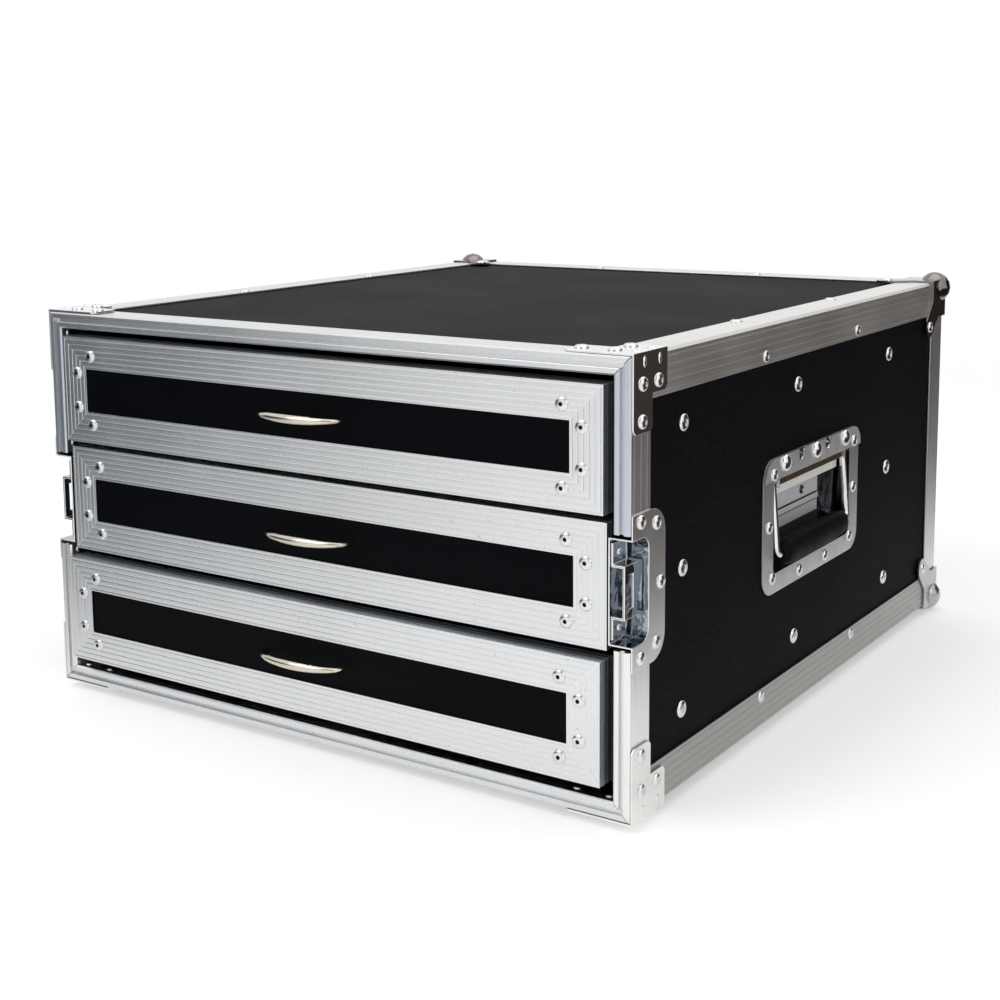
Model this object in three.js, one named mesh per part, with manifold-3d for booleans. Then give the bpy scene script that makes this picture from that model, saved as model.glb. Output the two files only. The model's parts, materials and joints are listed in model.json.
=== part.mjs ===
// Road case with three drawers on telescopic slides.
// Millimetres, +Z up, the drawers face -Y. The model is drawn from the case's
// front plane (y = 0), its middle (x = 0) and its underside (z = 0).
import * as THREE from 'three';
import { mergeVertices } from 'three/addons/utils/BufferGeometryUtils.js';
import Module from 'manifold-3d';

const wasm = await Module();
wasm.setup();

// Overall sizes and shared allowances
const caseWidth = 530;
const caseDepth = 600;
const caseHeight = 305;
const seatGap = 0.3;
const cutOverrun = 4;

// Laminated plywood panels
const panelThickness = 9;

// Ribbed angle extrusion along the edges
const edgeWidth = 30;
const edgeWall = 1.5;
const edgeRound = 2;
const edgeRibCount = 5;
const ribWidth = 1.4;
const ribDepth = 0.25;

// Channel extrusion that frames the open front
const frameDepth = 27;
const frameWeb = 5;
const frameRound = 1.2;
const frameRibCount = 3;
const lidGrooveWidth = 3;
const lidGrooveDepth = 3;

// Pressed ball corners at the back
const pressedWall = 1.5;
const ballRadius = 14.2;
const ballInset = 6;
const ballColumns = 16;
const ballRows = 10;
const leafReach = 32;
const leafShoulder = 17;
const lobeCentre = 39.5;
const lobeRadius = 9.5;

// Flat corner braces at the front
const braceWidth = 26;
const braceArm = 46;
const braceLeg = 50;
const braceSetback = 0.8;
const braceRound = 3;

// Keeper dish of the lid latch, halfway up each front side edge
const latchHeight = 102.5;
const latchDepth = 45.5;
const latchRound = 18;
const pocketHeight = 69;
const pocketDepth = 23;
const pocketRound = 9;
const pocketSink = 15.2;
const latchWall = 1.2;
const latchCutHeight = 76;
const keeperHeight = 36;
const keeperWidth = 17;
const keeperFoot = 14;
const keeperRise = 8.6;
const keeperWall = 1.8;
const keeperSlotWidth = 6;
const keeperSlotHeight = 22;

// Recessed carry handle, halfway along each side
const handleWidth = 190;
const handleHeight = 104;
const handleRound = 16;
const handleDrop = 2;
const trayWidth = 151;
const trayHeight = 74;
const trayRound = 5;
const trayWall = 1.2;
const wellMouth = 120;
const wellFloor = 92;
const wellDepth = 6.8;
const trayRibDrop = 10.5;
const trayRibHeight = 4.7;
const trayRibRise = 0.8;
const coverHeight = 16.5;
const coverWall = 1.5;
const saddleWall = 1;
const saddleDrop = 8.2;
const lugWall = 1.5;
const hingeRadius = 2.2;
const hingeClearance = 0.3;
const springWire = 1.1;
const springWeld = 0.2;
const springEndGap = 0.8;
const rodRadius = 3.2;
const rodClearance = 0.4;
const rodStub = 1;
const bailSpan = 140;
const bailDrop = 48.6;
const bailLean = 4.6;
const bailRound = 7;
const gripLength = 126;
const gripHeight = 30;
const gripThickness = 14;

// Drawers
const topPulledOut = 4.8;
const bottomPulledOut = 9;
const drawersPulledOut = [topPulledOut, 0, bottomPulledOut];
const topDrawerGap = 5.7;
const bottomDrawerGap = 10.6;
const drawerGap = 5.3;
const drawerSideGap = 5.2;
const drawerRecess = 1.8;
const trimFace = 25;
const trimWall = 1.5;
const trimReturn = 18;
const trimRibCount = 6;
const returnRibCount = 4;
const boardThickness = 15;
const boxLift = 7.15;
const boxHeadroom = 13.15;
const boxBackGap = 72.6;
const boxWall = 9;
const boxFloor = 6;

// Bow pull on each drawer
const pullSpan = 74;
const pullReach = 20;
const pullFoot = 3;
const pullHeight = 6.2;
const pullThickness = 4.4;
const pullTipShare = 0.5;

// Two-part telescopic slides on both sides of each drawer
const slideStart = 31;
const slideBackGap = 58.2;
const slideHeight = 45;
const slideThickness = 12.7;
const slideSheet = 1.2;
const slideFlange = 9.8;
const bracketDepth = 8.4;
const bracketLength = 40;

// Smoothness of round stretches
const arcSteps = 4;
const bendSteps = 4;
const bowSteps = 16;
const rodSides = 8;
const gripSides = 16;
const gripSteps = 3;
const springCurls = 46;
const springSteps = 8;
const springSides = 5;

// Sizes that follow
const halfWidth = caseWidth / 2;
const middleHeight = caseHeight / 2;
const panelInset = edgeWall + seatGap;
const panelInner = panelInset + panelThickness;
const frameFace = panelInner + seatGap + edgeWall;
const panelFront = frameWeb + seatGap;
const edgeStart = frameDepth + seatGap;
const edgeEnd = caseDepth - edgeWidth - seatGap;
const drawerCount = drawersPulledOut.length;
const frontWidth = caseWidth - 2 * frameFace - 2 * drawerSideGap;
const frontHeight = (caseHeight - 2 * frameFace - topDrawerGap - bottomDrawerGap
  - (drawerCount - 1) * drawerGap) / drawerCount;
const drawerPitch = frontHeight + drawerGap;
const topDrawerZ = caseHeight - frameFace - topDrawerGap - frontHeight / 2;
const panelFaceX = halfWidth - panelInner - seatGap;
const slideOuterX = panelFaceX - bracketDepth;
const slideInnerX = slideOuterX - slideThickness;
const boxHalfWidth = slideInnerX - seatGap;
const boxHeight = frontHeight - boxLift - boxHeadroom;
const boxStart = drawerRecess + trimWall + seatGap + boardThickness;
const boxLength = caseDepth - panelInner - boxBackGap - boxStart;
const slideLength = caseDepth - panelInner - slideBackGap - slideStart;
const handleY = (edgeStart + edgeEnd) / 2;
const handleZ = middleHeight - handleDrop;
const handleTop = handleZ + handleHeight / 2;
const coverBottom = handleTop - coverHeight;
const trayFace = halfWidth - panelInset + seatGap + trayWall;
const trayFloor = halfWidth - panelInner + seatGap + trayWall;
const saddleBack = trayFloor + seatGap;
const saddleReach = bailSpan / 2 - rodRadius - rodClearance;
const springRadius = hingeRadius + hingeClearance + springWire;
const rodX = saddleBack + saddleWall + springRadius - springWeld;
const rodZ = coverBottom - rodClearance - springRadius;
const saddleLow = rodZ - springRadius - saddleDrop;
const gripX = rodX + bailLean;
const gripZ = rodZ - bailDrop;
const latchFloor = halfWidth - pocketSink;
const latchFace = halfWidth + seatGap + latchWall;

const axisX = new THREE.Vector3(1, 0, 0);
const axisY = new THREE.Vector3(0, 1, 0);
const axisZ = new THREE.Vector3(0, 0, 1);
const inward = axisX.clone().negate();
const forward = axisY.clone().negate();
const down = axisZ.clone().negate();

const finishes = {
  laminate: { color: 0x17181b, roughness: 0.55, metalness: 0 },
  blackBoard: { color: 0x0a0b10, roughness: 0.4, metalness: 0 },
  extrusion: { color: 0xc9cacc, roughness: 0.38, metalness: 0.9 },
  chrome: { color: 0xd4d5d6, roughness: 0.16, metalness: 1 },
  nickel: { color: 0xbab2a2, roughness: 0.3, metalness: 1 },
  zincSteel: { color: 0xa9abad, roughness: 0.4, metalness: 0.9 },
  rubber: { color: 0x101113, roughness: 0.7, metalness: 0 },
};

const roadCase = new THREE.Group();

function addPiece(name, geometry, finish) {
  const material = new THREE.MeshStandardMaterial({ ...finishes[finish], flatShading: true });
  const mesh = new THREE.Mesh(weld(geometry), material);
  mesh.name = name;
  roadCase.add(mesh);
}

// Adds a piece of the right side and its mirror image on the left
function addPair(name, rightPiece, finish) {
  addPiece(`right_${name}`, rightPiece, finish);
  addPiece(`left_${name}`, mirrored(rightPiece, axisX), finish);
}

// Keeps positions only, joins equal corners and drops triangles that close to a line
function weld(geometry) {
  const bare = geometry.clone();
  for (const key of Object.keys(bare.attributes)) {
    if (key !== 'position') bare.deleteAttribute(key);
  }
  const welded = mergeVertices(bare);
  const corners = welded.index.array;
  const kept = [];
  for (let i = 0; i < corners.length; i += 3) {
    const [a, b, c] = corners.slice(i, i + 3);
    if (a !== b && b !== c && c !== a) kept.push(a, b, c);
  }
  welded.setIndex(kept);
  return welded;
}

// Joins and cuts closed solids
function toSolid(geometry) {
  const welded = weld(geometry);
  return new wasm.Manifold(new wasm.Mesh({
    numProp: 3,
    vertProperties: new Float32Array(welded.attributes.position.array),
    triVerts: new Uint32Array(welded.index.array),
  }));
}

function fromSolid(solid) {
  const mesh = solid.getMesh();
  const geometry = new THREE.BufferGeometry();
  geometry.setAttribute('position', new THREE.BufferAttribute(mesh.vertProperties, 3));
  geometry.setIndex(new THREE.BufferAttribute(mesh.triVerts, 1));
  return geometry;
}

function join(...geometries) {
  return fromSolid(geometries.map(toSolid).reduce((whole, next) => whole.add(next)));
}

function cut(geometry, ...tools) {
  return fromSolid(tools.map(toSolid).reduce((whole, next) => whole.subtract(next), toSolid(geometry)));
}

// Mirrors a piece over the plane through the origin that an axis stands on
function mirrored(geometry, axis) {
  const flipped = weld(geometry);
  const sign = new THREE.Vector3(1, 1, 1).addScaledVector(axis, -2);
  flipped.scale(sign.x, sign.y, sign.z);
  const corners = flipped.index.array;
  for (let i = 0; i < corners.length; i += 3) {
    [corners[i], corners[i + 1]] = [corners[i + 1], corners[i]];
  }
  return flipped;
}

// The same piece at the other end of the case's height
function flippedUp(geometry) {
  return mirrored(geometry, axisZ).translate(0, 0, caseHeight);
}

// A box between two corners
function block(low, high) {
  const geometry = new THREE.BoxGeometry(...high.map((value, i) => value - low[i]));
  return geometry.translate(...high.map((value, i) => (value + low[i]) / 2));
}

function extrude(shape, depth) {
  return new THREE.ExtrudeGeometry(shape, { depth, bevelEnabled: false, curveSegments: arcSteps });
}

// Lays a shape's x and y along two world directions, its depth along their cross product
function lay(geometry, alongX, alongY, origin) {
  const depthAxis = new THREE.Vector3().crossVectors(alongX, alongY);
  const turn = new THREE.Matrix4().makeBasis(alongX, alongY, depthAxis).setPosition(origin);
  return geometry.clone().applyMatrix4(turn);
}

// A plate parallel to the side panels: shape in (y, z), between two x values
function sidePlate(shape, fromX, toX) {
  return lay(extrude(shape, toX - fromX), axisY, axisZ, point(fromX, 0, 0));
}

function point(x, y, z) {
  return new THREE.Vector3(x, y, z);
}

function polygon(points) {
  return new THREE.Shape(points.map(([x, y]) => new THREE.Vector2(x, y)));
}

// A rectangle with one radius per corner, from the bottom left one anticlockwise
function roundedRect(low, high, radii) {
  const shape = new THREE.Shape();
  const corners = [[low[0], low[1]], [high[0], low[1]], [high[0], high[1]], [low[0], high[1]]];
  corners.forEach(([x, y], i) => {
    const radius = radii[i];
    const start = Math.PI + i * Math.PI / 2;
    const centreX = x === low[0] ? x + radius : x - radius;
    const centreY = y === low[1] ? y + radius : y - radius;
    const enter = [centreX + radius * Math.cos(start), centreY + radius * Math.sin(start)];
    if (i === 0) shape.moveTo(...enter);
    else shape.lineTo(...enter);
    if (radius > 0) shape.absarc(centreX, centreY, radius, start, start + Math.PI / 2);
  });
  shape.closePath();
  return shape;
}

// V-shaped grooves over the stretch of a face, as (along, depth) points
function ribPoints(start, end, count) {
  const pitch = (end - start) / count;
  const points = [];
  for (let i = 0; i < count; i += 1) {
    const centre = start + (i + 1 / 2) * pitch;
    points.push([centre - ribWidth / 2, 0], [centre, ribDepth], [centre + ribWidth / 2, 0]);
  }
  return points;
}

function turnedOver(points) {
  return points.map(([along, depth]) => [depth, along]).reverse();
}

// Angle profile with its outer corner at (0, 0) and grooved outer faces
function angleProfile() {
  const ribs = ribPoints(edgeRound, edgeWidth, edgeRibCount);
  return polygon([
    [edgeRound, 0], ...ribs, [edgeWidth, 0], [edgeWidth, edgeWall],
    [edgeWall, edgeWall], [edgeWall, edgeWidth], [0, edgeWidth], ...turnedOver(ribs), [0, edgeRound],
  ]);
}

// Channel profile: across the case's edge in x, back from the front plane in y
function channelProfile() {
  const groove = (frameFace - lidGrooveWidth) / 2;
  const ribs = turnedOver(ribPoints(frameRound, frameDepth, frameRibCount));
  return polygon([
    [frameRound, 0], [groove, 0], [groove, lidGrooveDepth],
    [groove + lidGrooveWidth, lidGrooveDepth], [groove + lidGrooveWidth, 0],
    [frameFace - frameRound, 0], [frameFace, frameRound], [frameFace, frameDepth],
    [frameFace - edgeWall, frameDepth], [frameFace - edgeWall, frameWeb],
    [edgeWall, frameWeb], [edgeWall, frameDepth], [0, frameDepth], ...ribs, [0, frameRound],
  ]);
}

// A bar of one profile between two points, mitred at 45 degrees at the ends that ask for it
function bar(profile, from, to, alongX, alongY, mitreFrom, mitreTo) {
  const length = to.distanceTo(from);
  const geometry = extrude(profile, length);
  const places = geometry.attributes.position;
  for (let i = 0; i < places.count; i += 1) {
    const shortened = places.getX(i) + seatGap / 2;
    const atEnd = places.getZ(i) > length / 2;
    if (atEnd && mitreTo) places.setZ(i, length - shortened);
    if (!atEnd && mitreFrom) places.setZ(i, shortened);
  }
  return lay(geometry, alongX, alongY, from);
}

// A round bar between two points
function rod(radius, from, to, sides) {
  const run = new THREE.Vector3().subVectors(to, from);
  const geometry = new THREE.CylinderGeometry(radius, radius, run.length(), sides);
  geometry.applyQuaternion(new THREE.Quaternion().setFromUnitVectors(axisY, run.clone().normalize()));
  const middle = from.clone().addScaledVector(run, 1 / 2);
  return geometry.translate(middle.x, middle.y, middle.z);
}

// A path known by its stations, so that a section is set square exactly at each of them
class StationPath extends THREE.Curve {
  constructor(stations) {
    super();
    this.stations = stations;
  }

  stationAt(share) {
    return this.stations[Math.round(share * (this.stations.length - 1))];
  }

  getPointAt(share, target = new THREE.Vector3()) {
    return target.copy(this.stationAt(share).place);
  }

  getTangentAt(share, target = new THREE.Vector3()) {
    return target.copy(this.stationAt(share).facing);
  }
}

function station(place, facing) {
  return { place, facing };
}

function extrudeAlong(section, stations) {
  return new THREE.ExtrudeGeometry(section, {
    steps: stations.length - 1,
    curveSegments: rodSides / 2,
    extrudePath: new StationPath(stations),
  });
}

// Panels
function sidePanel() {
  const outline = roundedRect([panelFront, panelInset],
    [caseDepth - panelInset, caseHeight - panelInset], [0, 0, 0, 0]);
  const board = sidePlate(outline, halfWidth - panelInner, halfWidth - panelInset);
  const notchLow = middleHeight - latchCutHeight / 2;
  const notch = block([0, 0, notchLow],
    [caseWidth, pocketDepth + latchWall + seatGap, notchLow + latchCutHeight]);
  const hole = sidePlate(trayOutline(trayWall + seatGap), 0, caseWidth);
  return cut(board, notch, hole);
}

function addPanels() {
  addPair('side_panel', sidePanel(), 'laminate');
  const back = caseDepth - panelInset;
  const bottom = block([-panelFaceX, panelFront, panelInset], [panelFaceX, back, panelInner]);
  addPiece('bottom_panel', bottom, 'laminate');
  addPiece('top_panel', flippedUp(bottom), 'laminate');
  const low = panelInner + seatGap;
  const rear = block([-panelFaceX, back - panelThickness, low], [panelFaceX, back, caseHeight - low]);
  addPiece('back_panel', rear, 'laminate');
}

// Edge extrusions
function addEdges() {
  const profile = angleProfile();
  const side = bar(profile, point(halfWidth, edgeStart, caseHeight),
    point(halfWidth, edgeEnd, caseHeight), down, inward);
  addPair('top_edge', side, 'extrusion');
  addPair('bottom_edge', flippedUp(side), 'extrusion');
  const back = bar(profile, point(-halfWidth, caseDepth, caseHeight),
    point(halfWidth, caseDepth, caseHeight), forward, down);
  addPiece('back_top_edge', back, 'extrusion');
  addPiece('back_bottom_edge', flippedUp(back), 'extrusion');
  const low = edgeWidth + seatGap;
  const upright = bar(profile, point(halfWidth, caseDepth, low),
    point(halfWidth, caseDepth, caseHeight - low), inward, forward);
  addPair('back_edge', upright, 'extrusion');
}

// Front frame: two rails, and stiles in two lengths above and below the latch dishes
function addFrontFrame() {
  const profile = channelProfile();
  const rail = bar(profile, point(-halfWidth, 0, caseHeight), point(halfWidth, 0, caseHeight),
    down, axisY, true, true);
  addPiece('front_top_rail', rail, 'extrusion');
  addPiece('front_bottom_rail', flippedUp(rail), 'extrusion');
  const stile = bar(profile, point(halfWidth, 0, caseHeight),
    point(halfWidth, 0, middleHeight + latchCutHeight / 2), inward, axisY, true, false);
  addPair('front_upper_stile', stile, 'extrusion');
  addPair('front_lower_stile', flippedUp(stile), 'extrusion');
}

// Ball corner: a ball joined to three lobed leaves, drawn with the case's corner at the origin
function leafOutline() {
  const skin = seatGap + pressedWall;
  const lobe = lobeRadius * Math.SQRT1_2;
  const shape = new THREE.Shape();
  shape.moveTo(skin, skin);
  shape.lineTo(-leafReach, skin);
  shape.lineTo(-leafReach, -leafShoulder);
  shape.lineTo(-lobeCentre - lobe, -lobeCentre + lobe);
  shape.absarc(-lobeCentre, -lobeCentre, lobeRadius, 3 * Math.PI / 4, 7 * Math.PI / 4);
  shape.lineTo(-leafShoulder, -leafReach);
  shape.lineTo(skin, -leafReach);
  return shape;
}

function ballCorner() {
  const leaf = extrude(leafOutline(), pressedWall).translate(0, 0, seatGap);
  const origin = point(0, 0, 0);
  const leaves = [leaf, lay(leaf, axisY, axisZ, origin), lay(leaf, axisZ, axisX, origin)];
  const ball = new THREE.SphereGeometry(ballRadius, ballColumns, ballRows)
    .translate(-ballInset, -ballInset, -ballInset);
  const caseCorner = block([-caseDepth, -caseDepth, -caseDepth], [seatGap, seatGap, seatGap]);
  return join(cut(ball, caseCorner), ...leaves);
}

// Corner brace: a plate on the side, folded over the edge into its like on the top
function braceOutline() {
  const skin = seatGap + pressedWall;
  return polygon([
    [braceSetback, skin], [braceSetback, -braceLeg + braceRound],
    [braceSetback + braceRound, -braceLeg], [braceWidth - braceRound, -braceLeg],
    [braceWidth, -braceLeg + braceRound], [braceWidth, -braceWidth],
    [braceArm - braceRound, -braceWidth], [braceArm, -braceWidth + braceRound], [braceArm, skin],
  ]);
}

function cornerBrace() {
  const plate = extrude(braceOutline(), pressedWall).translate(0, 0, seatGap);
  const origin = point(0, 0, 0);
  const side = lay(plate, axisY, axisZ, origin);
  const over = lay(mirrored(plate, axisZ), axisY, axisX, origin);
  return join(side, over);
}

function addCorners() {
  const ball = ballCorner().translate(halfWidth, caseDepth, caseHeight);
  addPair('back_top_ball_corner', ball, 'chrome');
  addPair('back_bottom_ball_corner', flippedUp(ball), 'chrome');
  const brace = cornerBrace().translate(halfWidth, 0, caseHeight);
  addPair('front_top_brace', brace, 'chrome');
  addPair('front_bottom_brace', flippedUp(brace), 'chrome');
}

// Keeper dish of the lid latch: flange outside, pocket open to the front
function pocketOutline(grow, front) {
  const half = pocketHeight / 2 + grow;
  const round = pocketRound + grow;
  return roundedRect([front, middleHeight - half],
    [pocketDepth + grow, middleHeight + half], [0, round, round, 0]);
}

function latchDish() {
  const half = latchHeight / 2;
  const outline = roundedRect([braceSetback, middleHeight - half],
    [latchDepth, middleHeight + half], [0, latchRound, latchRound, 0]);
  const flange = sidePlate(outline, halfWidth + seatGap, latchFace);
  const shell = sidePlate(pocketOutline(latchWall, braceSetback), latchFloor - latchWall, latchFace);
  const hollow = sidePlate(pocketOutline(0, -cutOverrun), latchFloor, latchFace + cutOverrun);
  return cut(join(flange, shell), hollow);
}

// Hat-shaped keeper that the lid's latch hooks over, slotted in its crown
function latchKeeper() {
  const foot = latchFloor + seatGap;
  const crown = foot + keeperRise;
  const half = keeperHeight / 2;
  const hat = polygon([
    [foot, -half - keeperFoot], [foot + keeperWall, -half - keeperFoot],
    [foot + keeperWall, -half], [crown + keeperWall, -half], [crown + keeperWall, half],
    [foot + keeperWall, half], [foot + keeperWall, half + keeperFoot], [foot, half + keeperFoot],
    [foot, half - keeperWall], [crown, half - keeperWall],
    [crown, keeperWall - half], [foot, keeperWall - half],
  ]);
  const back = 2 * braceSetback + keeperWidth;
  const strap = lay(extrude(hat, keeperWidth), axisX, axisZ, point(0, back, middleHeight));
  const slotFront = back - (keeperWidth + keeperSlotWidth) / 2;
  const slotLow = middleHeight - keeperSlotHeight / 2;
  const slot = block([crown - cutOverrun, slotFront, slotLow],
    [crown + cutOverrun, slotFront + keeperSlotWidth, slotLow + keeperSlotHeight]);
  return cut(strap, slot);
}

// Carry handle: pressed tray with a deeper well behind the fingers
function trayOutline(grow) {
  const halfLength = trayWidth / 2 + grow;
  const halfRise = trayHeight / 2 + grow;
  const round = trayRound + grow;
  return roundedRect([handleY - halfLength, handleZ - halfRise],
    [handleY + halfLength, handleZ + halfRise], [round, round, round, round]);
}

function trayWell(grow) {
  const mouth = wellMouth / 2 + grow;
  const floor = wellFloor / 2 + grow;
  const low = trayFloor - wellDepth - grow;
  const plan = polygon([[trayFloor + grow, -mouth], [trayFloor + grow, mouth],
    [trayFloor - grow, mouth], [low, floor], [low, -floor], [trayFloor - grow, -mouth]]);
  const height = trayHeight + 2 * grow;
  return lay(extrude(plan, height), axisX, axisY, point(0, handleY, handleZ - height / 2));
}

function handleTray() {
  const half = handleWidth / 2;
  const outline = roundedRect([handleY - half, handleTop - handleHeight], [handleY + half, handleTop],
    [handleRound, handleRound, handleRound, handleRound]);
  const flange = sidePlate(outline, trayFace - trayWall, trayFace);
  const shell = sidePlate(trayOutline(trayWall), trayFloor - trayWall, trayFace);
  const hollow = sidePlate(trayOutline(0), trayFloor, trayFace + cutOverrun);
  const floor = trayFloor - wellDepth;
  const ribTop = saddleLow - trayRibDrop;
  const rib = block([floor - trayWall / 2, handleY - wellFloor / 2, ribTop - trayRibHeight],
    [floor + trayRibRise, handleY + wellFloor / 2, ribTop]);
  return join(cut(join(flange, shell, trayWell(trayWall)), hollow, trayWell(0)), rib);
}

// Hinge cover: face plate, shelf over the rod, saddle behind it and a lug at each end
function handleCover() {
  const face = trayFace + seatGap;
  const half = handleWidth / 2;
  const outline = roundedRect([handleY - half, coverBottom], [handleY + half, handleTop],
    [0, 0, handleRound, handleRound]);
  const plate = sidePlate(outline, face, face + coverWall);
  const near = handleY - saddleReach;
  const far = handleY + saddleReach;
  const top = coverBottom + saddleWall;
  const shelf = block([saddleBack, near, coverBottom], [face + coverWall / 2, far, top]);
  const saddle = block([saddleBack, near, saddleLow], [saddleBack + saddleWall, far, top]);
  return join(plate, shelf, saddle, hingeLug(near), hingeLug(far - lugWall), torsionSpring());
}

function hingeLug(y) {
  const bore = hingeRadius + hingeClearance;
  const low = rodZ - bore - lugWall;
  const plate = block([saddleBack, y, low],
    [rodX + bore + lugWall, y + lugWall, coverBottom + saddleWall / 2]);
  const near = point(rodX, y - cutOverrun, rodZ);
  const far = point(rodX, y + cutOverrun, rodZ);
  const hole = rod(bore, near, far, 2 * rodSides);
  return cut(plate, hole);
}

// Torsion spring round the hinge rod: one unbroken wire, welded where its curls touch the saddle
function torsionSpring() {
  const start = saddleReach - lugWall - springEndGap - springWire / 2;
  const pitch = 2 * start / springCurls;
  const winding = springRadius - springWire / 2;
  const stations = [];
  for (let i = 0; i <= springCurls * springSteps; i += 1) {
    const turns = i / springSteps;
    const angle = turns * 2 * Math.PI;
    const place = point(rodX - winding * Math.cos(angle), handleY + start - pitch * turns,
      rodZ + winding * Math.sin(angle));
    const facing = point(winding * Math.sin(angle), -pitch / (2 * Math.PI), winding * Math.cos(angle));
    stations.push(station(place, facing.normalize()));
  }
  console.log(`spring: least gap between curls ${leastGap(stations).toFixed(2)} mm`);
  const wire = circle(springWire / 2, springSides);
  return extrudeAlong(wire, stations);
}

// The least distance between the wires of curls next to each other, measured on the stations
function leastGap(stations) {
  const near = springSteps / 2;
  let least = Infinity;
  stations.forEach(({ place }, i) => {
    for (let k = i + near; k < Math.min(i + 3 * near, stations.length); k += 1) {
      least = Math.min(least, place.distanceTo(stations[k].place) - springWire);
    }
  });
  return least;
}

// Bail: two arms and the bar inside the grip, welded to a straight hinge rod
function bail() {
  const half = bailSpan / 2;
  const tops = [handleY + half, handleY - half].map((y) => point(rodX, y, rodZ));
  const feet = [handleY + half, handleY - half].map((y) => point(gripX, y, gripZ));
  const drop = new THREE.Vector3().subVectors(feet[0], tops[0]).normalize();
  const rise = drop.clone().negate();
  const stations = [
    station(tops[0], drop),
    ...bend(feet[0], drop, forward),
    ...bend(feet[1], forward, rise),
    station(tops[1], rise),
  ];
  const reach = half + rodRadius + rodStub;
  const hinge = rod(hingeRadius, point(rodX, handleY - reach, rodZ),
    point(rodX, handleY + reach, rodZ), rodSides);
  return join(extrudeAlong(circle(rodRadius, rodSides), stations), hinge);
}

function circle(radius, sides) {
  return polygon(Array.from({ length: sides }, (_, i) => {
    const angle = i / sides * 2 * Math.PI;
    return [radius * Math.cos(angle), radius * Math.sin(angle)];
  }));
}

// Stations of a quarter bend round a corner
function bend(corner, before, after) {
  const enter = corner.clone().addScaledVector(before, -bailRound);
  return Array.from({ length: bendSteps + 1 }, (_, i) => {
    const angle = i / bendSteps * Math.PI / 2;
    const place = enter.clone()
      .addScaledVector(before, bailRound * Math.sin(angle))
      .addScaledVector(after, bailRound * (1 - Math.cos(angle)));
    const facing = before.clone().multiplyScalar(Math.cos(angle)).addScaledVector(after, Math.sin(angle));
    return station(place, facing);
  });
}

// Rubber grip: a barrel with rounded ends, flatter across the case, bored for the bail's bar
function grip() {
  const half = gripLength / 2;
  const shoulder = gripHeight / 4;
  const quarter = Array.from({ length: gripSteps + 1 }, (_, i) => {
    const angle = i / gripSteps * Math.PI / 2;
    return [shoulder * (1 + Math.sin(angle)), half - shoulder * (1 - Math.cos(angle))];
  });
  const lower = quarter.map(([across, along]) => new THREE.Vector2(across, -along));
  const upper = quarter.map(([across, along]) => new THREE.Vector2(across, along)).reverse();
  const outline = [new THREE.Vector2(0, -half), ...lower, ...upper, new THREE.Vector2(0, half)];
  const barrel = new THREE.LatheGeometry(outline, gripSides);
  barrel.scale(gripThickness / gripHeight, 1, 1);
  barrel.translate(gripX, handleY, gripZ);
  const bore = rod(rodRadius + seatGap, point(gripX, handleY - gripLength, gripZ),
    point(gripX, handleY + gripLength, gripZ), rodSides);
  return cut(barrel, bore);
}

// Drawer trim: one grooved angle profile carried round a rectangle with mitred corners
function drawerTrim(y, z) {
  const ribs = ribPoints(0, trimFace, trimRibCount).reverse();
  const returnRibs = turnedOver(ribPoints(0, trimReturn, returnRibCount)).reverse();
  const profile = [
    [0, 0], ...returnRibs, [0, trimReturn], [trimWall, trimReturn], [trimWall, trimWall],
    [trimFace, trimWall], [trimFace, 0], ...ribs, [0, 0],
  ];
  const rise = frontHeight / 2;
  const stretch = (frontWidth - frontHeight) / 2;
  const outline = profile.map(([across, back]) => new THREE.Vector2((rise - across) * Math.SQRT2, back));
  const frame = new THREE.LatheGeometry(outline, 4, Math.PI / 4);
  const places = frame.attributes.position;
  for (let i = 0; i < places.count; i += 1) {
    places.setX(i, places.getX(i) + Math.sign(places.getX(i)) * stretch);
  }
  return frame.translate(0, y, z);
}

// Drawer box: front board with sides, back and floor glued to it
function drawerBox(y, z) {
  const inset = trimWall + seatGap;
  const start = y + inset + boardThickness;
  const board = block([-frontWidth / 2 + inset, y + inset, z - frontHeight / 2 + inset],
    [frontWidth / 2 - inset, start, z + frontHeight / 2 - inset]);
  const low = z - frontHeight / 2 + boxLift;
  const shell = block([-boxHalfWidth, start - boxWall, low],
    [boxHalfWidth, start + boxLength, low + boxHeight]);
  const inner = boxHalfWidth - boxWall;
  const hollow = block([-inner, start, low + boxFloor],
    [inner, start + boxLength - boxWall, low + boxHeight + cutOverrun]);
  return join(board, cut(shell, hollow));
}

// Bow pull of oval section, from foot to foot, its height tapering towards the feet
function drawerPull(y, z) {
  const surface = y + trimWall;
  const reach = pullReach - pullThickness / 2 - pullFoot;
  const half = pullSpan / 2;
  const stations = [station(point(-half, surface, z), forward)];
  for (let i = 0; i <= bowSteps; i += 1) {
    const angle = Math.PI * i / bowSteps;
    const place = point(-half * Math.cos(angle), surface - pullFoot - reach * Math.sin(angle), z);
    const facing = point(half * Math.sin(angle), -reach * Math.cos(angle), 0).normalize();
    stations.push(station(place, facing));
  }
  stations.push(station(point(half, surface, z), axisY));
  const section = new THREE.Shape();
  section.absellipse(0, 0, pullHeight / 2, pullThickness / 2, 0, 2 * Math.PI);
  const bow = extrudeAlong(section, stations);
  const places = bow.getAttribute('position');
  for (let i = 0; i < places.count; i += 1) {
    const outward = Math.min(Math.abs(places.getX(i)) / half, 1);
    const share = 1 - (1 - pullTipShare) * outward ** 2;
    places.setZ(i, z + (places.getZ(i) - z) * share);
  }
  return bow;
}

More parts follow.
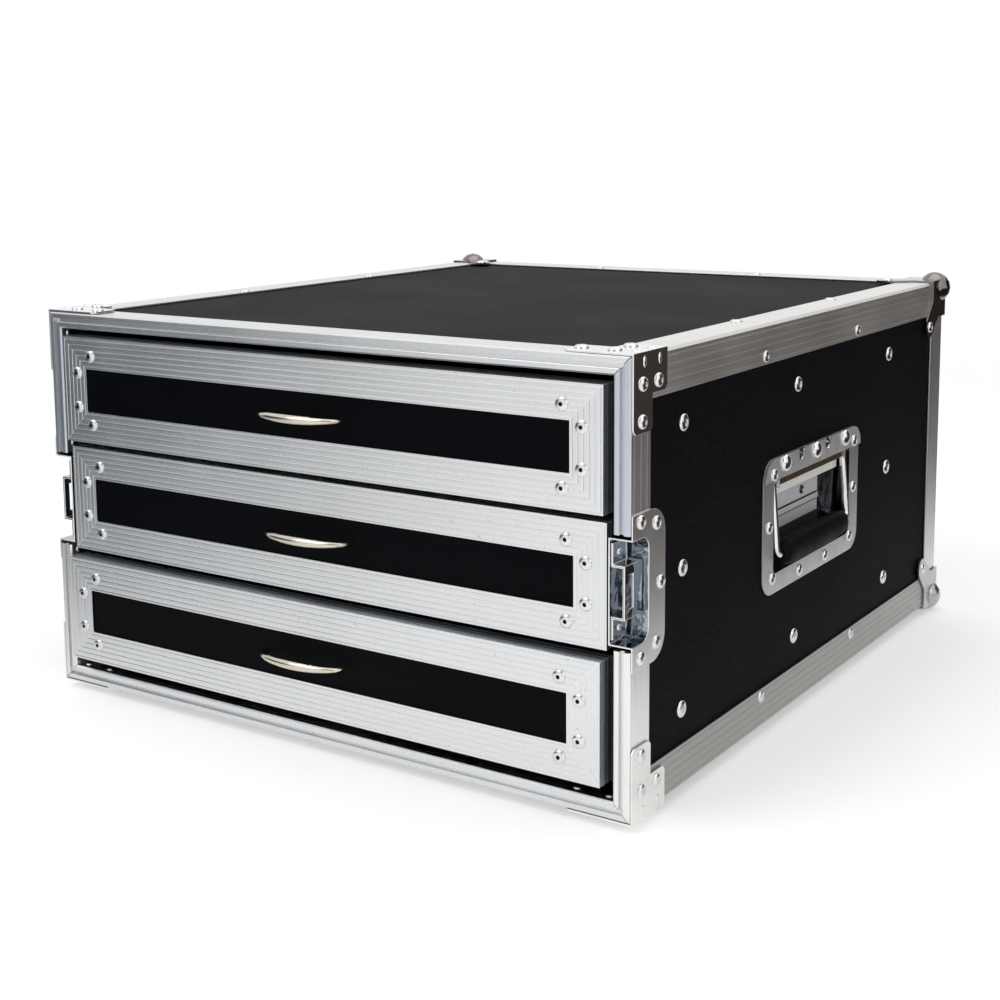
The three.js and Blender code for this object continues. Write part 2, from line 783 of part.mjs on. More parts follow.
// A shallow channel with its web at one x and its flanges towards another
function channel(webX, flangeX, height, length, z, startY) {
  const webFace = webX + Math.sign(flangeX - webX) * slideSheet;
  const half = height / 2;
  const corners = [
    [webX, -half], [flangeX, -half], [flangeX, slideSheet - half], [webFace, slideSheet - half],
    [webFace, half - slideSheet], [flangeX, half - slideSheet], [flangeX, half], [webX, half],
  ];
  return lay(extrude(polygon(corners), length), axisX, axisZ, point(0, startY + length, z));
}

// Case member of a slide, carried clear of the handle tray by a bracket at each end
function caseSlide(z) {
  const member = channel(slideOuterX, slideOuterX - slideFlange, slideHeight, slideLength, z, slideStart);
  const brackets = [slideStart, slideStart + slideLength - bracketLength].map((start) =>
    channel(panelFaceX, slideOuterX - slideSheet / 2, slideHeight, bracketLength, z, start));
  return join(member, ...brackets);
}

// Drawer member, running inside the case member
function drawerSlide(z, pulledOut) {
  const height = slideHeight - 2 * (slideSheet + seatGap);
  return channel(slideInnerX, slideInnerX + slideFlange, height, slideLength, z, slideStart - pulledOut);
}

function addDrawer(number) {
  const name = `drawer_${number + 1}`;
  const pulledOut = drawersPulledOut[number];
  const y = drawerRecess - pulledOut;
  const z = topDrawerZ - number * drawerPitch;
  addPiece(`${name}_box`, drawerBox(y, z), 'blackBoard');
  addPiece(`${name}_trim`, drawerTrim(y, z), 'extrusion');
  addPiece(`${name}_pull`, drawerPull(y, z), 'nickel');
  addPair(`${name}_case_slide`, caseSlide(z), 'zincSteel');
  addPair(`${name}_drawer_slide`, drawerSlide(z, pulledOut), 'zincSteel');
}

addPanels();
addEdges();
addFrontFrame();
addCorners();
addPair('latch_dish', latchDish(), 'chrome');
addPair('latch_keeper', latchKeeper(), 'zincSteel');
addPair('handle_tray', handleTray(), 'zincSteel');
addPair('handle_cover', handleCover(), 'zincSteel');
addPair('handle_bail', bail(), 'chrome');
addPair('handle_grip', grip(), 'rubber');
for (let number = 0; number < drawerCount; number += 1) {
  addDrawer(number);
}

// The origin goes to the middle of the underside of the whole object
const bounds = new THREE.Box3().setFromObject(roadCase);
const centre = bounds.getCenter(new THREE.Vector3());
roadCase.position.set(-centre.x, -centre.y, -bounds.min.z);

export default roadCase;
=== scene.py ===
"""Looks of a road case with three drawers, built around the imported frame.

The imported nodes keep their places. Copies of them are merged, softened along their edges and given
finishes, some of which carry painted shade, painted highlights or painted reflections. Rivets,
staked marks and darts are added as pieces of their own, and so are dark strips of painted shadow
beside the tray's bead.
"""

from __future__ import annotations

import json
import logging
import math
from dataclasses import dataclass
from enum import Enum
from typing import Callable, Sequence

import bmesh
import bpy
from mathutils import Matrix, Vector

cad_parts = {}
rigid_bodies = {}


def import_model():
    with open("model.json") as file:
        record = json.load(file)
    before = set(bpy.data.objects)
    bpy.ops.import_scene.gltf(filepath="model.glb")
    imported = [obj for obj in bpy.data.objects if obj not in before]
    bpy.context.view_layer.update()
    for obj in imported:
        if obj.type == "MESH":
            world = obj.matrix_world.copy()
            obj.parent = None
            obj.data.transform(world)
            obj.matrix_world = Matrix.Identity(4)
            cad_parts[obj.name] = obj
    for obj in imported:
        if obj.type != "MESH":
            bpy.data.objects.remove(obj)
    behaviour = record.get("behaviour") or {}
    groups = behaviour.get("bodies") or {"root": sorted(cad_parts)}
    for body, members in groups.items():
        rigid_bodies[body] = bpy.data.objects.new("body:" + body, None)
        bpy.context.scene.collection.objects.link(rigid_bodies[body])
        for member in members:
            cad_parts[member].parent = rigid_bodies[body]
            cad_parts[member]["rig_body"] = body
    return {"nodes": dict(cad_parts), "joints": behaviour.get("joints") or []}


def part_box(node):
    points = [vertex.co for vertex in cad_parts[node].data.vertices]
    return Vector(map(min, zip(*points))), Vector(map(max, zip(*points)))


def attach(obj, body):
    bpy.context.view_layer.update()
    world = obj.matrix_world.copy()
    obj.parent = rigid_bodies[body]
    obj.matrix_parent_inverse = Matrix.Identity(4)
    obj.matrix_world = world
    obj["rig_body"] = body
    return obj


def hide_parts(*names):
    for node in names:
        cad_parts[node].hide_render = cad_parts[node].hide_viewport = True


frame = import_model()
log = logging.getLogger("road_case")

MM = 0.001
WELD = 0.001 * MM
UP = Vector((0.0, 0.0, 1.0))
DOWN = -UP
FRONT = Vector((0.0, -1.0, 0.0))
BACK = -FRONT
RIGHT = Vector((1.0, 0.0, 0.0))

# The wave texture at a scale of 1 repeats its bands at this distance
WAVE_LENGTH = math.pi / 10.0

Colour = tuple[float, float, float]
Place = tuple[Vector, Vector]
Mesh = bmesh.types.BMesh
Face = bmesh.types.BMFace


class Side(Enum):
    """The two sides of the case, with the sign of their x."""

    RIGHT = 1
    LEFT = -1

    @property
    def word(self) -> str:
        """The side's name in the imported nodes."""
        return self.name.lower()

    @property
    def outward(self) -> Vector:
        """The direction that the side faces."""
        return RIGHT * self.value

    def outer(self, node: str) -> float:
        """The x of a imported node's outermost face, in millimetres."""
        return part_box(node)[self is Side.RIGHT].x / MM

    def inner(self, node: str) -> float:
        """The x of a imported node's innermost face, in millimetres."""
        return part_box(node)[self is Side.LEFT].x / MM


class Run(Enum):
    """The way an extrusion runs, as the scales of its die lines along x, y and z."""

    ALONG_X = (2.0, 700.0, 700.0)
    ALONG_Y = (700.0, 2.0, 700.0)
    ALONG_Z = (700.0, 700.0, 2.0)


# Shader maths
class Wire:
    """A shader socket whose arithmetic adds Math nodes."""

    def __init__(self, bench: NodeBench, socket: bpy.types.NodeSocket) -> None:
        """Keeps the socket and the bench that adds nodes to its tree."""
        self.bench = bench
        self.socket = socket

    def _math(self, operation: str, *values: Wire | float) -> Wire:
        """Adds one Math node and hands on its value."""
        inputs = dict(enumerate(values))
        return self.bench.add("ShaderNodeMath", {"operation": operation}, inputs)

    def __add__(self, other: Wire | float) -> Wire:
        """This plus other."""
        return self._math("ADD", self, other)

    def __mul__(self, other: Wire | float) -> Wire:
        """This times other."""
        return self._math("MULTIPLY", self, other)

    def __sub__(self, other: Wire | float) -> Wire:
        """This less other."""
        return self._math("SUBTRACT", self, other)

    def __rsub__(self, other: float) -> Wire:
        """A number less this."""
        return self._math("SUBTRACT", other, self)

    def __pow__(self, other: float) -> Wire:
        """This to the power of other."""
        return self._math("POWER", self, other)

    def __abs__(self) -> Wire:
        """This without its sign."""
        return self._math("ABSOLUTE", self)

    def most(self, other: Wire) -> Wire:
        """The larger of this and other."""
        return self._math("MAXIMUM", self, other)

    def above(self, limit: Wire) -> Wire:
        """One where this is above the limit, else zero."""
        return self._math("GREATER_THAN", self, limit)

    def between(self, low: float, high: float) -> Wire:
        """Runs smoothly from zero at low to one at high."""
        inputs = {"Value": self, "From Min": low, "From Max": high}
        return self.bench.add("ShaderNodeMapRange", {"interpolation_type": "SMOOTHSTEP"}, inputs)


Inputs = dict[str | int, Wire | float | Sequence[float]]


class NodeBench:
    """Adds nodes to one node tree."""

    def __init__(self, tree: bpy.types.NodeTree) -> None:
        """Keeps the tree."""
        self.tree = tree

    def feed(self, node: bpy.types.Node, inputs: Inputs) -> None:
        """Sets or links inputs of a node.

        Args:
            node: the node.
            inputs: values, colours or wires for its sockets, by name or number.
        """
        for key, value in inputs.items():
            socket = node.inputs[key]
            if isinstance(value, Wire):
                self.tree.links.new(value.socket, socket)
            else:
                socket.default_value = (*value, 1.0) if socket.type == "RGBA" else value

    def add(self, kind: str, settings: dict[str, str] | None = None,
            inputs: Inputs | None = None, output: str | int = 0) -> Wire:
        """Adds one node, sets it and links it.

        Args:
            kind: the node's type.
            settings: properties, set before the sockets.
            inputs: values, colours or wires for its sockets, by name or number.
            output: the socket to hand on.

        Returns:
            The chosen output.
        """
        node = self.tree.nodes.new(kind)
        for name, value in (settings or {}).items():
            setattr(node, name, value)
        self.feed(node, inputs or {})
        return Wire(self, node.outputs[output])

    def split(self, vector: Wire) -> tuple[Wire, ...]:
        """The x, y and z of a vector."""
        first = self.add("ShaderNodeSeparateXYZ", None, {0: vector})
        return tuple(Wire(self, socket) for socket in first.socket.node.outputs)

    def ray(self, kind: str) -> Wire:
        """One where a ray is of a kind that the Light Path node knows, else zero."""
        return self.add("ShaderNodeLightPath", output=kind)

    def place(self, scale: Sequence[float] = (1.0, 1.0, 1.0),
              location: Sequence[float] = (0.0, 0.0, 0.0)) -> Wire:
        """The object's own coordinates, scaled after a shift.

        Args:
            scale: scale along x, y and z.
            location: the point that goes to the origin.

        Returns:
            The coordinates.
        """
        own = self.add("ShaderNodeTexCoord", output="Object")
        point = {"vector_type": "POINT"}
        moved = self.add("ShaderNodeMapping", point,
                         {"Vector": own, "Location": [-v for v in location]})
        return self.add("ShaderNodeMapping", point, {"Vector": moved, "Scale": scale})

    def noise(self, at: Wire, scale: float, detail: float = 3.0, rough: float = 0.55) -> Wire:
        """Noise from 0 to 1, with its cells in a metre, octaves and their strength."""
        inputs = {"Vector": at, "Scale": scale, "Detail": detail, "Roughness": rough}
        return self.add("ShaderNodeTexNoise", None, inputs)

    def blend(self, share: Wire | float, first: Wire | Colour, second: Wire | Colour) -> Wire:
        """Mixes two colours by the share of the second, at the Mix node's colour sockets."""
        inputs = {0: share, 6: first, 7: second}
        return self.add("ShaderNodeMix", {"data_type": "RGBA"}, inputs, output=2)

    def bump(self, height: Wire, distance: float, strength: float = 1.0) -> Wire:
        """Turns a height from 0 to 1 into a normal, where 1 stands for a distance in metres."""
        inputs = {"Height": height, "Distance": distance, "Strength": strength}
        return self.add("ShaderNodeBump", None, inputs, output="Normal")


class Paint(NodeBench):
    """The bench of a new material."""

    def __init__(self, name: str) -> None:
        """Makes the material and finds its shader.

        Args:
            name: the material's name.
        """
        self.material = bpy.data.materials.new(name)
        self.material.use_nodes = True
        super().__init__(self.material.node_tree)
        self.shader = self.tree.nodes["Principled BSDF"]

    def dial(self, inputs: Inputs) -> None:
        """Sets or links inputs of the shader."""
        self.feed(self.shader, inputs)


# Finishes
@dataclass(frozen=True)
class Finish:
    """A finish and the slot of the record that it stands for."""

    GLOSS = 0.5

    name: str
    slot: str
    colour: Colour
    roughness: float
    metallic: float = 0.0

    def material(self) -> bpy.types.Material:
        """The finish's material, made once.

        Returns:
            The material.
        """
        made = bpy.data.materials.get(self.name)
        if made:
            return made
        paint = Paint(self.name)
        paint.material.diffuse_color = (*self.colour, 1.0)
        paint.dial({"Base Color": self.colour, "Roughness": self.roughness,
                    "Metallic": self.metallic, "Specular IOR Level": self.GLOSS})
        paint.dial(self.layers(paint))
        return paint.material

    def layers(self, bench: NodeBench) -> dict[str, Wire]:
        """What changes over the surface, by socket of the shader."""
        raise NotImplementedError


@dataclass(frozen=True)
class Laminate(Finish):
    """Black laminate with a fine pebbled grain, paler where it is scuffed."""

    GLOSS = 0.038

    grain: float = 620.0
    relief: float = 0.10 * MM
    scuff_scale: tuple[float, float, float] = (160.0, 160.0, 34.0)

    def layers(self, bench: NodeBench) -> dict[str, Wire]:
        """Grain, scuffs and a cloudy sheen.

        Args:
            bench: the bench of the material.

        Returns:
            The wires by socket.
        """
        at = bench.place()
        pebble = bench.noise(at, self.grain, 2.0)
        cloud = bench.noise(at, 9.0, 4.0)
        scuff = bench.noise(bench.place(self.scuff_scale), 1.0, 5.0, 0.7).between(0.62, 0.8)
        speck = bench.noise(at, self.grain * 0.55, 1.0).between(0.56, 0.74)
        light = tuple(min(1.0, 2.6 * c + 0.006) for c in self.colour)
        base = bench.blend(speck * 0.55 + scuff * 0.25, self.colour, light)
        rough = pebble * 0.14 + cloud * 0.16 + (self.roughness - 0.15)
        return {"Base Color": base, "Roughness": rough,
                "Normal": bench.bump(pebble, self.relief)}


@dataclass(frozen=True)
class SmoothBoard(Finish):
    """Satin black board with faint dust and hand marks."""

    GLOSS = 0.045

    dust_colour: Colour = (0.008, 0.009, 0.012)
    relief: float = 0.05 * MM

    def layers(self, bench: NodeBench) -> dict[str, Wire]:
        """Dust specks, marks in the sheen and a slight unevenness.

        Args:
            bench: the bench of the material.

        Returns:
            The wires by socket.
        """
        at = bench.place()
        dust = bench.noise(at, 420.0, 2.0).between(0.66, 0.8)
        marks = bench.noise(at, 26.0, 5.0, 0.65)
        base = bench.blend(dust * 0.4, self.colour, self.dust_colour)
        return {"Base Color": base, "Roughness": marks * 0.22 + (self.roughness - 0.1),
                "Normal": bench.bump(marks, self.relief)}


@dataclass(frozen=True)
class Extrusion(Finish):
    """Drawn aluminium: die lines along the bar, cloudy handling marks and dull nicks."""

    run: Run = Run.ALONG_X
    nick_colour: Colour = (0.30, 0.30, 0.30)
    relief: float = 0.06 * MM

    def drawn(self, bench: NodeBench, run: Run) -> Wire:
        """Fine lines that run with a bar."""
        return bench.noise(bench.place(run.value), 1.0, 3.0, 0.7)

    def lines(self, bench: NodeBench) -> Wire:
        """The die lines of this extrusion."""
        return self.drawn(bench, self.run)

    def layers(self, bench: NodeBench) -> dict[str, Wire]:
        """Die lines in colour, sheen and relief, with cloudy handling marks.

        Args:
            bench: the bench of the material.

        Returns:
            The wires by socket.
        """
        lines = self.lines(bench)
        cloud = bench.noise(bench.place(), 14.0, 5.0, 0.6)
        nick = bench.noise(bench.place(), 260.0, 2.0).between(0.68, 0.76)
        dull = tuple(0.78 * c for c in self.colour)
        base = bench.blend(lines * 0.5 + cloud * 0.45, dull, self.colour)
        base = bench.blend(nick * 0.35, base, self.nick_colour)
        rough = lines * 0.16 + cloud * 0.14 + nick * 0.1 + (self.roughness - 0.15)
        return {"Base Color": base, "Roughness": rough,
                "Normal": bench.bump(lines, self.relief, 0.7)}


@dataclass(frozen=True)
class MitredExtrusion(Extrusion):
    """The extrusion carried round a rectangle: its lines turn with the mitred corners."""

    middle: tuple[float, float] = (0.0, 0.0)
    half: tuple[float, float] = (1.0, 1.0)
    seam: float = 0.45 * MM
    burr_colour: Colour = (0.96, 0.96, 0.96)

    def borders(self, bench: NodeBench) -> tuple[Wire, Wire]:
        """The distances to the nearer side and to the nearer of top and bottom."""
        x, _, z = bench.split(bench.place(location=(self.middle[0], 0.0, self.middle[1])))
        return self.half[0] - abs(x), self.half[1] - abs(z)

    def layers(self, bench: NodeBench) -> dict[str, Wire]:
        """The extrusion's layers, with a bright burr along the mitres.

        Args:
            bench: the bench of the material.

        Returns:
            The wires by socket.
        """
        made = super().layers(bench)
        beside, above = self.borders(bench)
        burr = 1.0 - abs(beside - above).between(0.4 * self.seam, self.seam)
        made["Base Color"] = bench.blend(burr * 0.45, made["Base Color"], self.burr_colour)
        made["Roughness"] = made["Roughness"] + burr * 0.15
        return made

    def lines(self, bench: NodeBench) -> Wire:
        """Lines that run along x above and below, and along z at the sides.

        Args:
            bench: the bench of the material.

        Returns:
            The lines.
        """
        beside, above = self.borders(bench)
        level, upright = (self.drawn(bench, run) for run in (Run.ALONG_X, Run.ALONG_Z))
        at_side = above.above(beside)
        return level * (1.0 - at_side) + upright * at_side


@dataclass(frozen=True)
class GroovedReturn(MitredExtrusion):
    """The folded side of the drawer trim, with painted shade in bands that stand for the shading of
    its ribs.
    """

    front: float = 0.0
    pitch: float = 5.2 * MM
    # colour of the painted shade in the bands
    shade: Colour = (0.32, 0.35, 0.40)

    def layers(self, bench: NodeBench) -> dict[str, Wire]:
        """The mitred extrusion's layers, with painted shade in bands across its colour.

        Args:
            bench: the bench of the material.

        Returns:
            The wires by socket.
        """
        made = super().layers(bench)
        start = bench.place(location=(0.0, self.front - 0.5 * self.pitch, 0.0))
        waves = bench.add("ShaderNodeTexWave", {"wave_type": "BANDS", "bands_direction": "Y"},
                          {"Vector": start, "Scale": WAVE_LENGTH / self.pitch}, output="Fac")
        # painted shade in bands along the depth
        made["Base Color"] = bench.blend(waves.between(0.4, 0.9), self.shade,
                                         made["Base Color"])
        return made


@dataclass(frozen=True)
class Plated(Finish):
    """Plated steel: a slow ripple from the press, fine haze and fingermarks."""

    metallic: float = 1.0
    ripple: float = 0.12 * MM
    haze: float = 0.08

    def layers(self, bench: NodeBench) -> dict[str, Wire]:
        """Haze in the sheen, a faint tint and the ripple.

        Args:
            bench: the bench of the material.

        Returns:
            The wires by socket.
        """
        at = bench.place()
        wave = bench.noise(at, 70.0, 2.0)
        fine = bench.noise(at, 900.0, 3.0)
        marks = bench.noise(at, 45.0, 5.0, 0.65).between(0.45, 0.75)
        dull = tuple(0.72 * c for c in self.colour)
        base = bench.blend(marks * 0.35 + fine * 0.15, self.colour, dull)
        rough = marks * self.haze + fine * (0.5 * self.haze) + self.roughness
        return {"Base Color": base, "Roughness": rough,
                "Normal": bench.bump(wave, self.ripple)}


@dataclass(frozen=True)
class Rubber(Finish):
    """Moulded rubber with a matt skin, dusty where hands rub it."""

    GLOSS = 0.02

    dust_colour: Colour = (0.011, 0.011, 0.012)
    relief: float = 0.08 * MM

    def layers(self, bench: NodeBench) -> dict[str, Wire]:
        """Skin grain, dust and sheen.

        Args:
            bench: the bench of the material.

        Returns:
            The wires by socket.
        """
        at = bench.place()
        skin = bench.noise(at, 1100.0, 2.0)
        worn = bench.noise(at, 60.0, 4.0).between(0.4, 0.8)
        base = bench.blend(worn * 0.5, self.colour, self.dust_colour)
        return {"Base Color": base, "Roughness": worn * -0.15 + skin * 0.1 + self.roughness,
                "Normal": bench.bump(skin, self.relief)}


PANEL = Laminate("grained_laminate", "laminate", (0.0022, 0.0023, 0.0038), 0.60)
BOARD = SmoothBoard("drawer_laminate", "drawer_board", (0.0008, 0.0011, 0.0022), 0.40)
ALUMINIUM: Colour = (0.80, 0.81, 0.82)
CROSS_EDGE = Extrusion("extrusion_across", "extrusion", ALUMINIUM, 0.28, 1.0, Run.ALONG_X)
TOP_EDGE = Extrusion("extrusion_inward", "extrusion", (0.80, 0.79, 0.77), 0.42, 1.0, Run.ALONG_Y)
# a darker copy of the edge extrusion for the bottom edges: painted shade
SHADED_LOWER_EDGE = Extrusion("extrusion_lower", "extrusion", (0.40, 0.395, 0.38), 0.36, 1.0, Run.ALONG_Y)
BACK_EDGE = Extrusion("extrusion_upright", "extrusion", ALUMINIUM, 0.34, 1.0, Run.ALONG_Z)
STILE = Extrusion("extrusion_stile", "extrusion", (0.92, 0.92, 0.91), 0.34, 1.0, Run.ALONG_Z)
# a darker, bluish copy of the stile finish for the upper stiles' front faces: painted shade and
# painted bluish reflection
SHADED_STILE_FACE = Extrusion("extrusion_stile_face", "extrusion", (0.60, 0.63, 0.70), 0.34, 1.0,
                       Run.ALONG_Z)
CHROME = Plated("bright_chrome", "chrome_plate", (0.78, 0.78, 0.79), 0.06)
# darker bluish chrome for the dish's sunk pocket and the keeper: painted shade and painted dark
# reflection
SHADED_POCKET_CHROME = Plated("pocket_chrome", "chrome_plate", (0.34, 0.37, 0.41), 0.05, ripple=0.8 * MM)
# darkened chrome for the upper balls: painted dark reflection; the lower balls take a paler satin
# copy
BALL_CHROME_DARK_REFLECTION = Plated("ball_chrome", "chrome_plate", (0.24, 0.22, 0.21), 0.08)
BALL_SATIN = Plated("ball_satin", "chrome_plate", (0.46, 0.46, 0.48), 0.22)
# near-white chrome on the rounded rims of the latch dish and keeper: painted highlight
HIGHLIGHT_RIM_CHROME = Plated("rim_chrome", "chrome_plate", (0.92, 0.92, 0.90), 0.34)
SATIN_CHROME = Plated("satin_chrome", "chrome_plate", (0.84, 0.83, 0.81), 0.29)
NICKEL = Plated("brushed_nickel", "satin_nickel", (0.66, 0.61, 0.51), 0.10)
ZINC = Plated("zinc_plate", "zinc_steel", (0.56, 0.57, 0.58), 0.26)
TRAY_ZINC = Plated("tray_zinc", "zinc_steel", (0.68, 0.69, 0.69), 0.31)
TRAY_FLOOR = Plated("tray_floor", "zinc_steel", (0.62, 0.63, 0.65), 0.42, 0.35)
# near-black zinc for the tray floor below the grip's height: a painted shadow of the grip
TRAY_SHADE = Plated("tray_shade", "zinc_steel", (0.035, 0.037, 0.043), 0.42, 0.35)
# near-black zinc for the walls and ledges of the handle's recess: painted shade
SHADED_TRAY_WALL = Plated("tray_wall", "zinc_steel", (0.07, 0.075, 0.085), 0.14, ripple=0.5 * MM)
COVER_ZINC = Plated("cover_zinc", "zinc_steel", (0.74, 0.74, 0.75), 0.27, 0.75, ripple=0.7 * MM)
SADDLE_ZINC = Plated("saddle_zinc", "zinc_steel", (0.90, 0.90, 0.87), 0.40, 0.4, ripple=0.9 * MM)
# dark steel tinted brown: the brown is a painted reflection of the brownish dark surroundings
SPRING_STEEL_BROWN_REFLECTION = Plated("spring_steel", "zinc_steel", (0.085, 0.055, 0.032), 0.34)
RIVET_STEEL = Plated("rivet_steel", "zinc_steel", (0.74, 0.74, 0.75), 0.14)
# near-black: painted shade inside the pop rivets' bores and painted shadow beside the tray's bead
PAINTED_SHADE_BLACK = Plated("rivet_bore", "zinc_steel", (0.03, 0.03, 0.03), 0.5)
GRIP_RUBBER = Rubber("moulded_rubber", "grip_rubber", (0.0050, 0.0052, 0.0070), 0.42)

Zone = tuple[Finish, Callable[[Face], bool]]


# Pieces
def new_object(name: str, data: bpy.types.ID) -> bpy.types.Object:
    """Makes an object and links it to the scene.

    Args:
        name: the object's name.
        data: its mesh, light or camera.

    Returns:
        The object.
    """
    thing = bpy.data.objects.new(name, data)
    bpy.context.scene.collection.objects.link(thing)
    return thing


def mesh_object(name: str, mesh: Mesh) -> bpy.types.Object:
    """Makes an object of a finished mesh.

    Args:
        name: the object's name.
        mesh: its mesh in the row frame; it is freed.

    Returns:
        The object.
    """
    data = bpy.data.meshes.new(name)
    mesh.to_mesh(data)
    mesh.free()
    return new_object(name, data)


def piece(name: str, mesh: Mesh, finishes: Sequence[Finish], body: str = "case",
          replaces: Sequence[str] = ()) -> bpy.types.Object:
    """Makes a piece of the object that rides on one of its bodies.

    Args:
        name: the piece's name.
        mesh: its mesh in the row frame; it is freed.
        finishes: its finishes, in the order of its faces' material numbers.
        body: the body that it rides on.
        replaces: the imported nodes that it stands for.

    Returns:
        The piece.
    """
    thing = mesh_object(name, mesh)
    for finish in finishes:
        thing.data.materials.append(finish.material())
    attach(thing, body)
    if replaces:
        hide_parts(*replaces)
    log.info("%s: %d faces on %s", name, len(thing.data.polygons), body)
    return thing


def shade(mesh: Mesh, crease: float) -> None:
    """Smooths a mesh, apart from its edges sharper than an angle.

    Args:
        mesh: the mesh to shade.
        crease: the angle in degrees.
    """
    limit = math.radians(crease)
    for face in mesh.faces:
        face.smooth = True
    for edge in mesh.edges:
        edge.smooth = edge.calc_face_angle(0.0) < limit


def level_faces(thing: bpy.types.Object) -> None:
    """Keeps large faces flat to the eye beside their rounded edges.

    Args:
        thing: the piece.
    """
    weighted = thing.modifiers.new("level_faces", "WEIGHTED_NORMAL")
    weighted.mode = "FACE_AREA"
    weighted.weight = 100
    weighted.keep_sharp = True


def merged_copy(node: str) -> Mesh:
    """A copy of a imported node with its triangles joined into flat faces.

    Args:
        node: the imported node.

    Returns:
        The copy.
    """
    mesh = bmesh.new()
    mesh.from_mesh(frame["nodes"][node].data)
    bmesh.ops.remove_doubles(mesh, verts=mesh.verts, dist=2.0 * WELD)
    bmesh.ops.dissolve_limit(mesh, angle_limit=math.radians(0.4), verts=mesh.verts,
                             edges=mesh.edges, delimit={"NORMAL"})
    return mesh


def soften(mesh: Mesh, radius: float, over: float) -> list[Face]:
    """Rounds the edges sharper than an angle.

    Args:
        mesh: the mesh to round.
        radius: the width of the rounding.
        over: the least angle in degrees.

    Returns:
        The faces of the roundings.
    """
    sharp = [edge for edge in mesh.edges
             if edge.is_manifold and edge.calc_face_angle(0.0) > math.radians(over)]
    made = bmesh.ops.bevel(mesh, geom=sharp, offset=radius, offset_type="OFFSET", segments=2,
                           profile=0.5, affect="EDGES", clamp_overlap=True, material=-1)
    return made["faces"]


def dress(node: str, finish: Finish, radius: float = 0.0, crease: float = 30.0,
          over: float = 40.0, zones: Sequence[Zone] = (), rim: Finish | None = None,
          reshape: Callable[[Mesh], None] | None = None) -> None:
    """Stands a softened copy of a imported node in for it.

    Args:
        node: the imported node.
        finish: its finish.
        radius: the width of the rounding of its edges, or 0 for none.
        crease: the angle in degrees above which an edge stays sharp.
        over: the least angle in degrees that is rounded.
        zones: finishes of some of its faces, with the tests that pick them.
        rim: a finish for its rounded edges.
        reshape: changes the copy before it is rounded.
    """
    mesh = merged_copy(node)
    if reshape:
        reshape(mesh)
    for face in mesh.faces:
        face.material_index = next(
            (number for number, (_, picks) in enumerate(zones, 1) if picks(face)), 0)
    rounded = soften(mesh, radius, over) if radius else []
    finishes = [finish, *(other for other, _ in zones)]
    if rim:
        for face in rounded:
            face.material_index = len(finishes)
        finishes.append(rim)
    shade(mesh, crease)
    thing = piece(f"{node}_dressed", mesh, finishes, frame["nodes"][node]["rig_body"], [node])
    if radius:
        level_faces(thing)


def coat(node: str, finish: Finish) -> None:
    """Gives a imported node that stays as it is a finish.

    Args:
        node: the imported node.
        finish: its finish.
    """
    data = frame["nodes"][node].data
    data.materials.clear()
    data.materials.append(finish.material())
    log.info("%s: %s", node, finish.name)


def revolve(profile: Sequence[tuple[float, float]], steps: int) -> Mesh:
    """Turns a profile round the z axis.

    Args:
        profile: points as radius and height, both ends on the axis.
        steps: faces round the axis.

    Returns:
        The closed mesh.
    """
    mesh = bmesh.new()
    verts = [mesh.verts.new((radius, 0.0, height)) for radius, height in profile]
    edges = [mesh.edges.new(pair) for pair in zip(verts, verts[1:])]
    bmesh.ops.spin(mesh, geom=verts + edges, cent=(0.0, 0.0, 0.0), axis=(0.0, 0.0, 1.0),
                   angle=math.tau, steps=steps, use_merge=True, use_duplicate=False)
    bmesh.ops.remove_doubles(mesh, verts=mesh.verts, dist=WELD)
    bmesh.ops.recalc_face_normals(mesh, faces=mesh.faces)
    return mesh


def stamp(template: Mesh, places: Sequence[Place], spin: float = 1.3) -> Mesh:
    """Puts a copy of a shape at each place, its z axis along the place's direction.

    Args:
        template: the shape; it is freed.
        places: points and directions.
        spin: the turn in radians from one copy to the next round their own axes.

    Returns:
        All copies in one mesh.
    """
    data = bpy.data.meshes.new("template")
    template.to_mesh(data)
    template.free()
    mesh = bmesh.new()
    for number, (point, facing) in enumerate(places):
        known = len(mesh.verts)
        mesh.from_mesh(data)
        mesh.verts.ensure_lookup_table()
        turn = facing.to_track_quat("Z", "Y").to_matrix().to_4x4()
        spun = Matrix.Rotation(spin * number, 4, "Z")
        bmesh.ops.transform(mesh, matrix=Matrix.Translation(point) @ turn @ spun,
                            verts=mesh.verts[known:])
    bpy.data.meshes.remove(data)
    return mesh


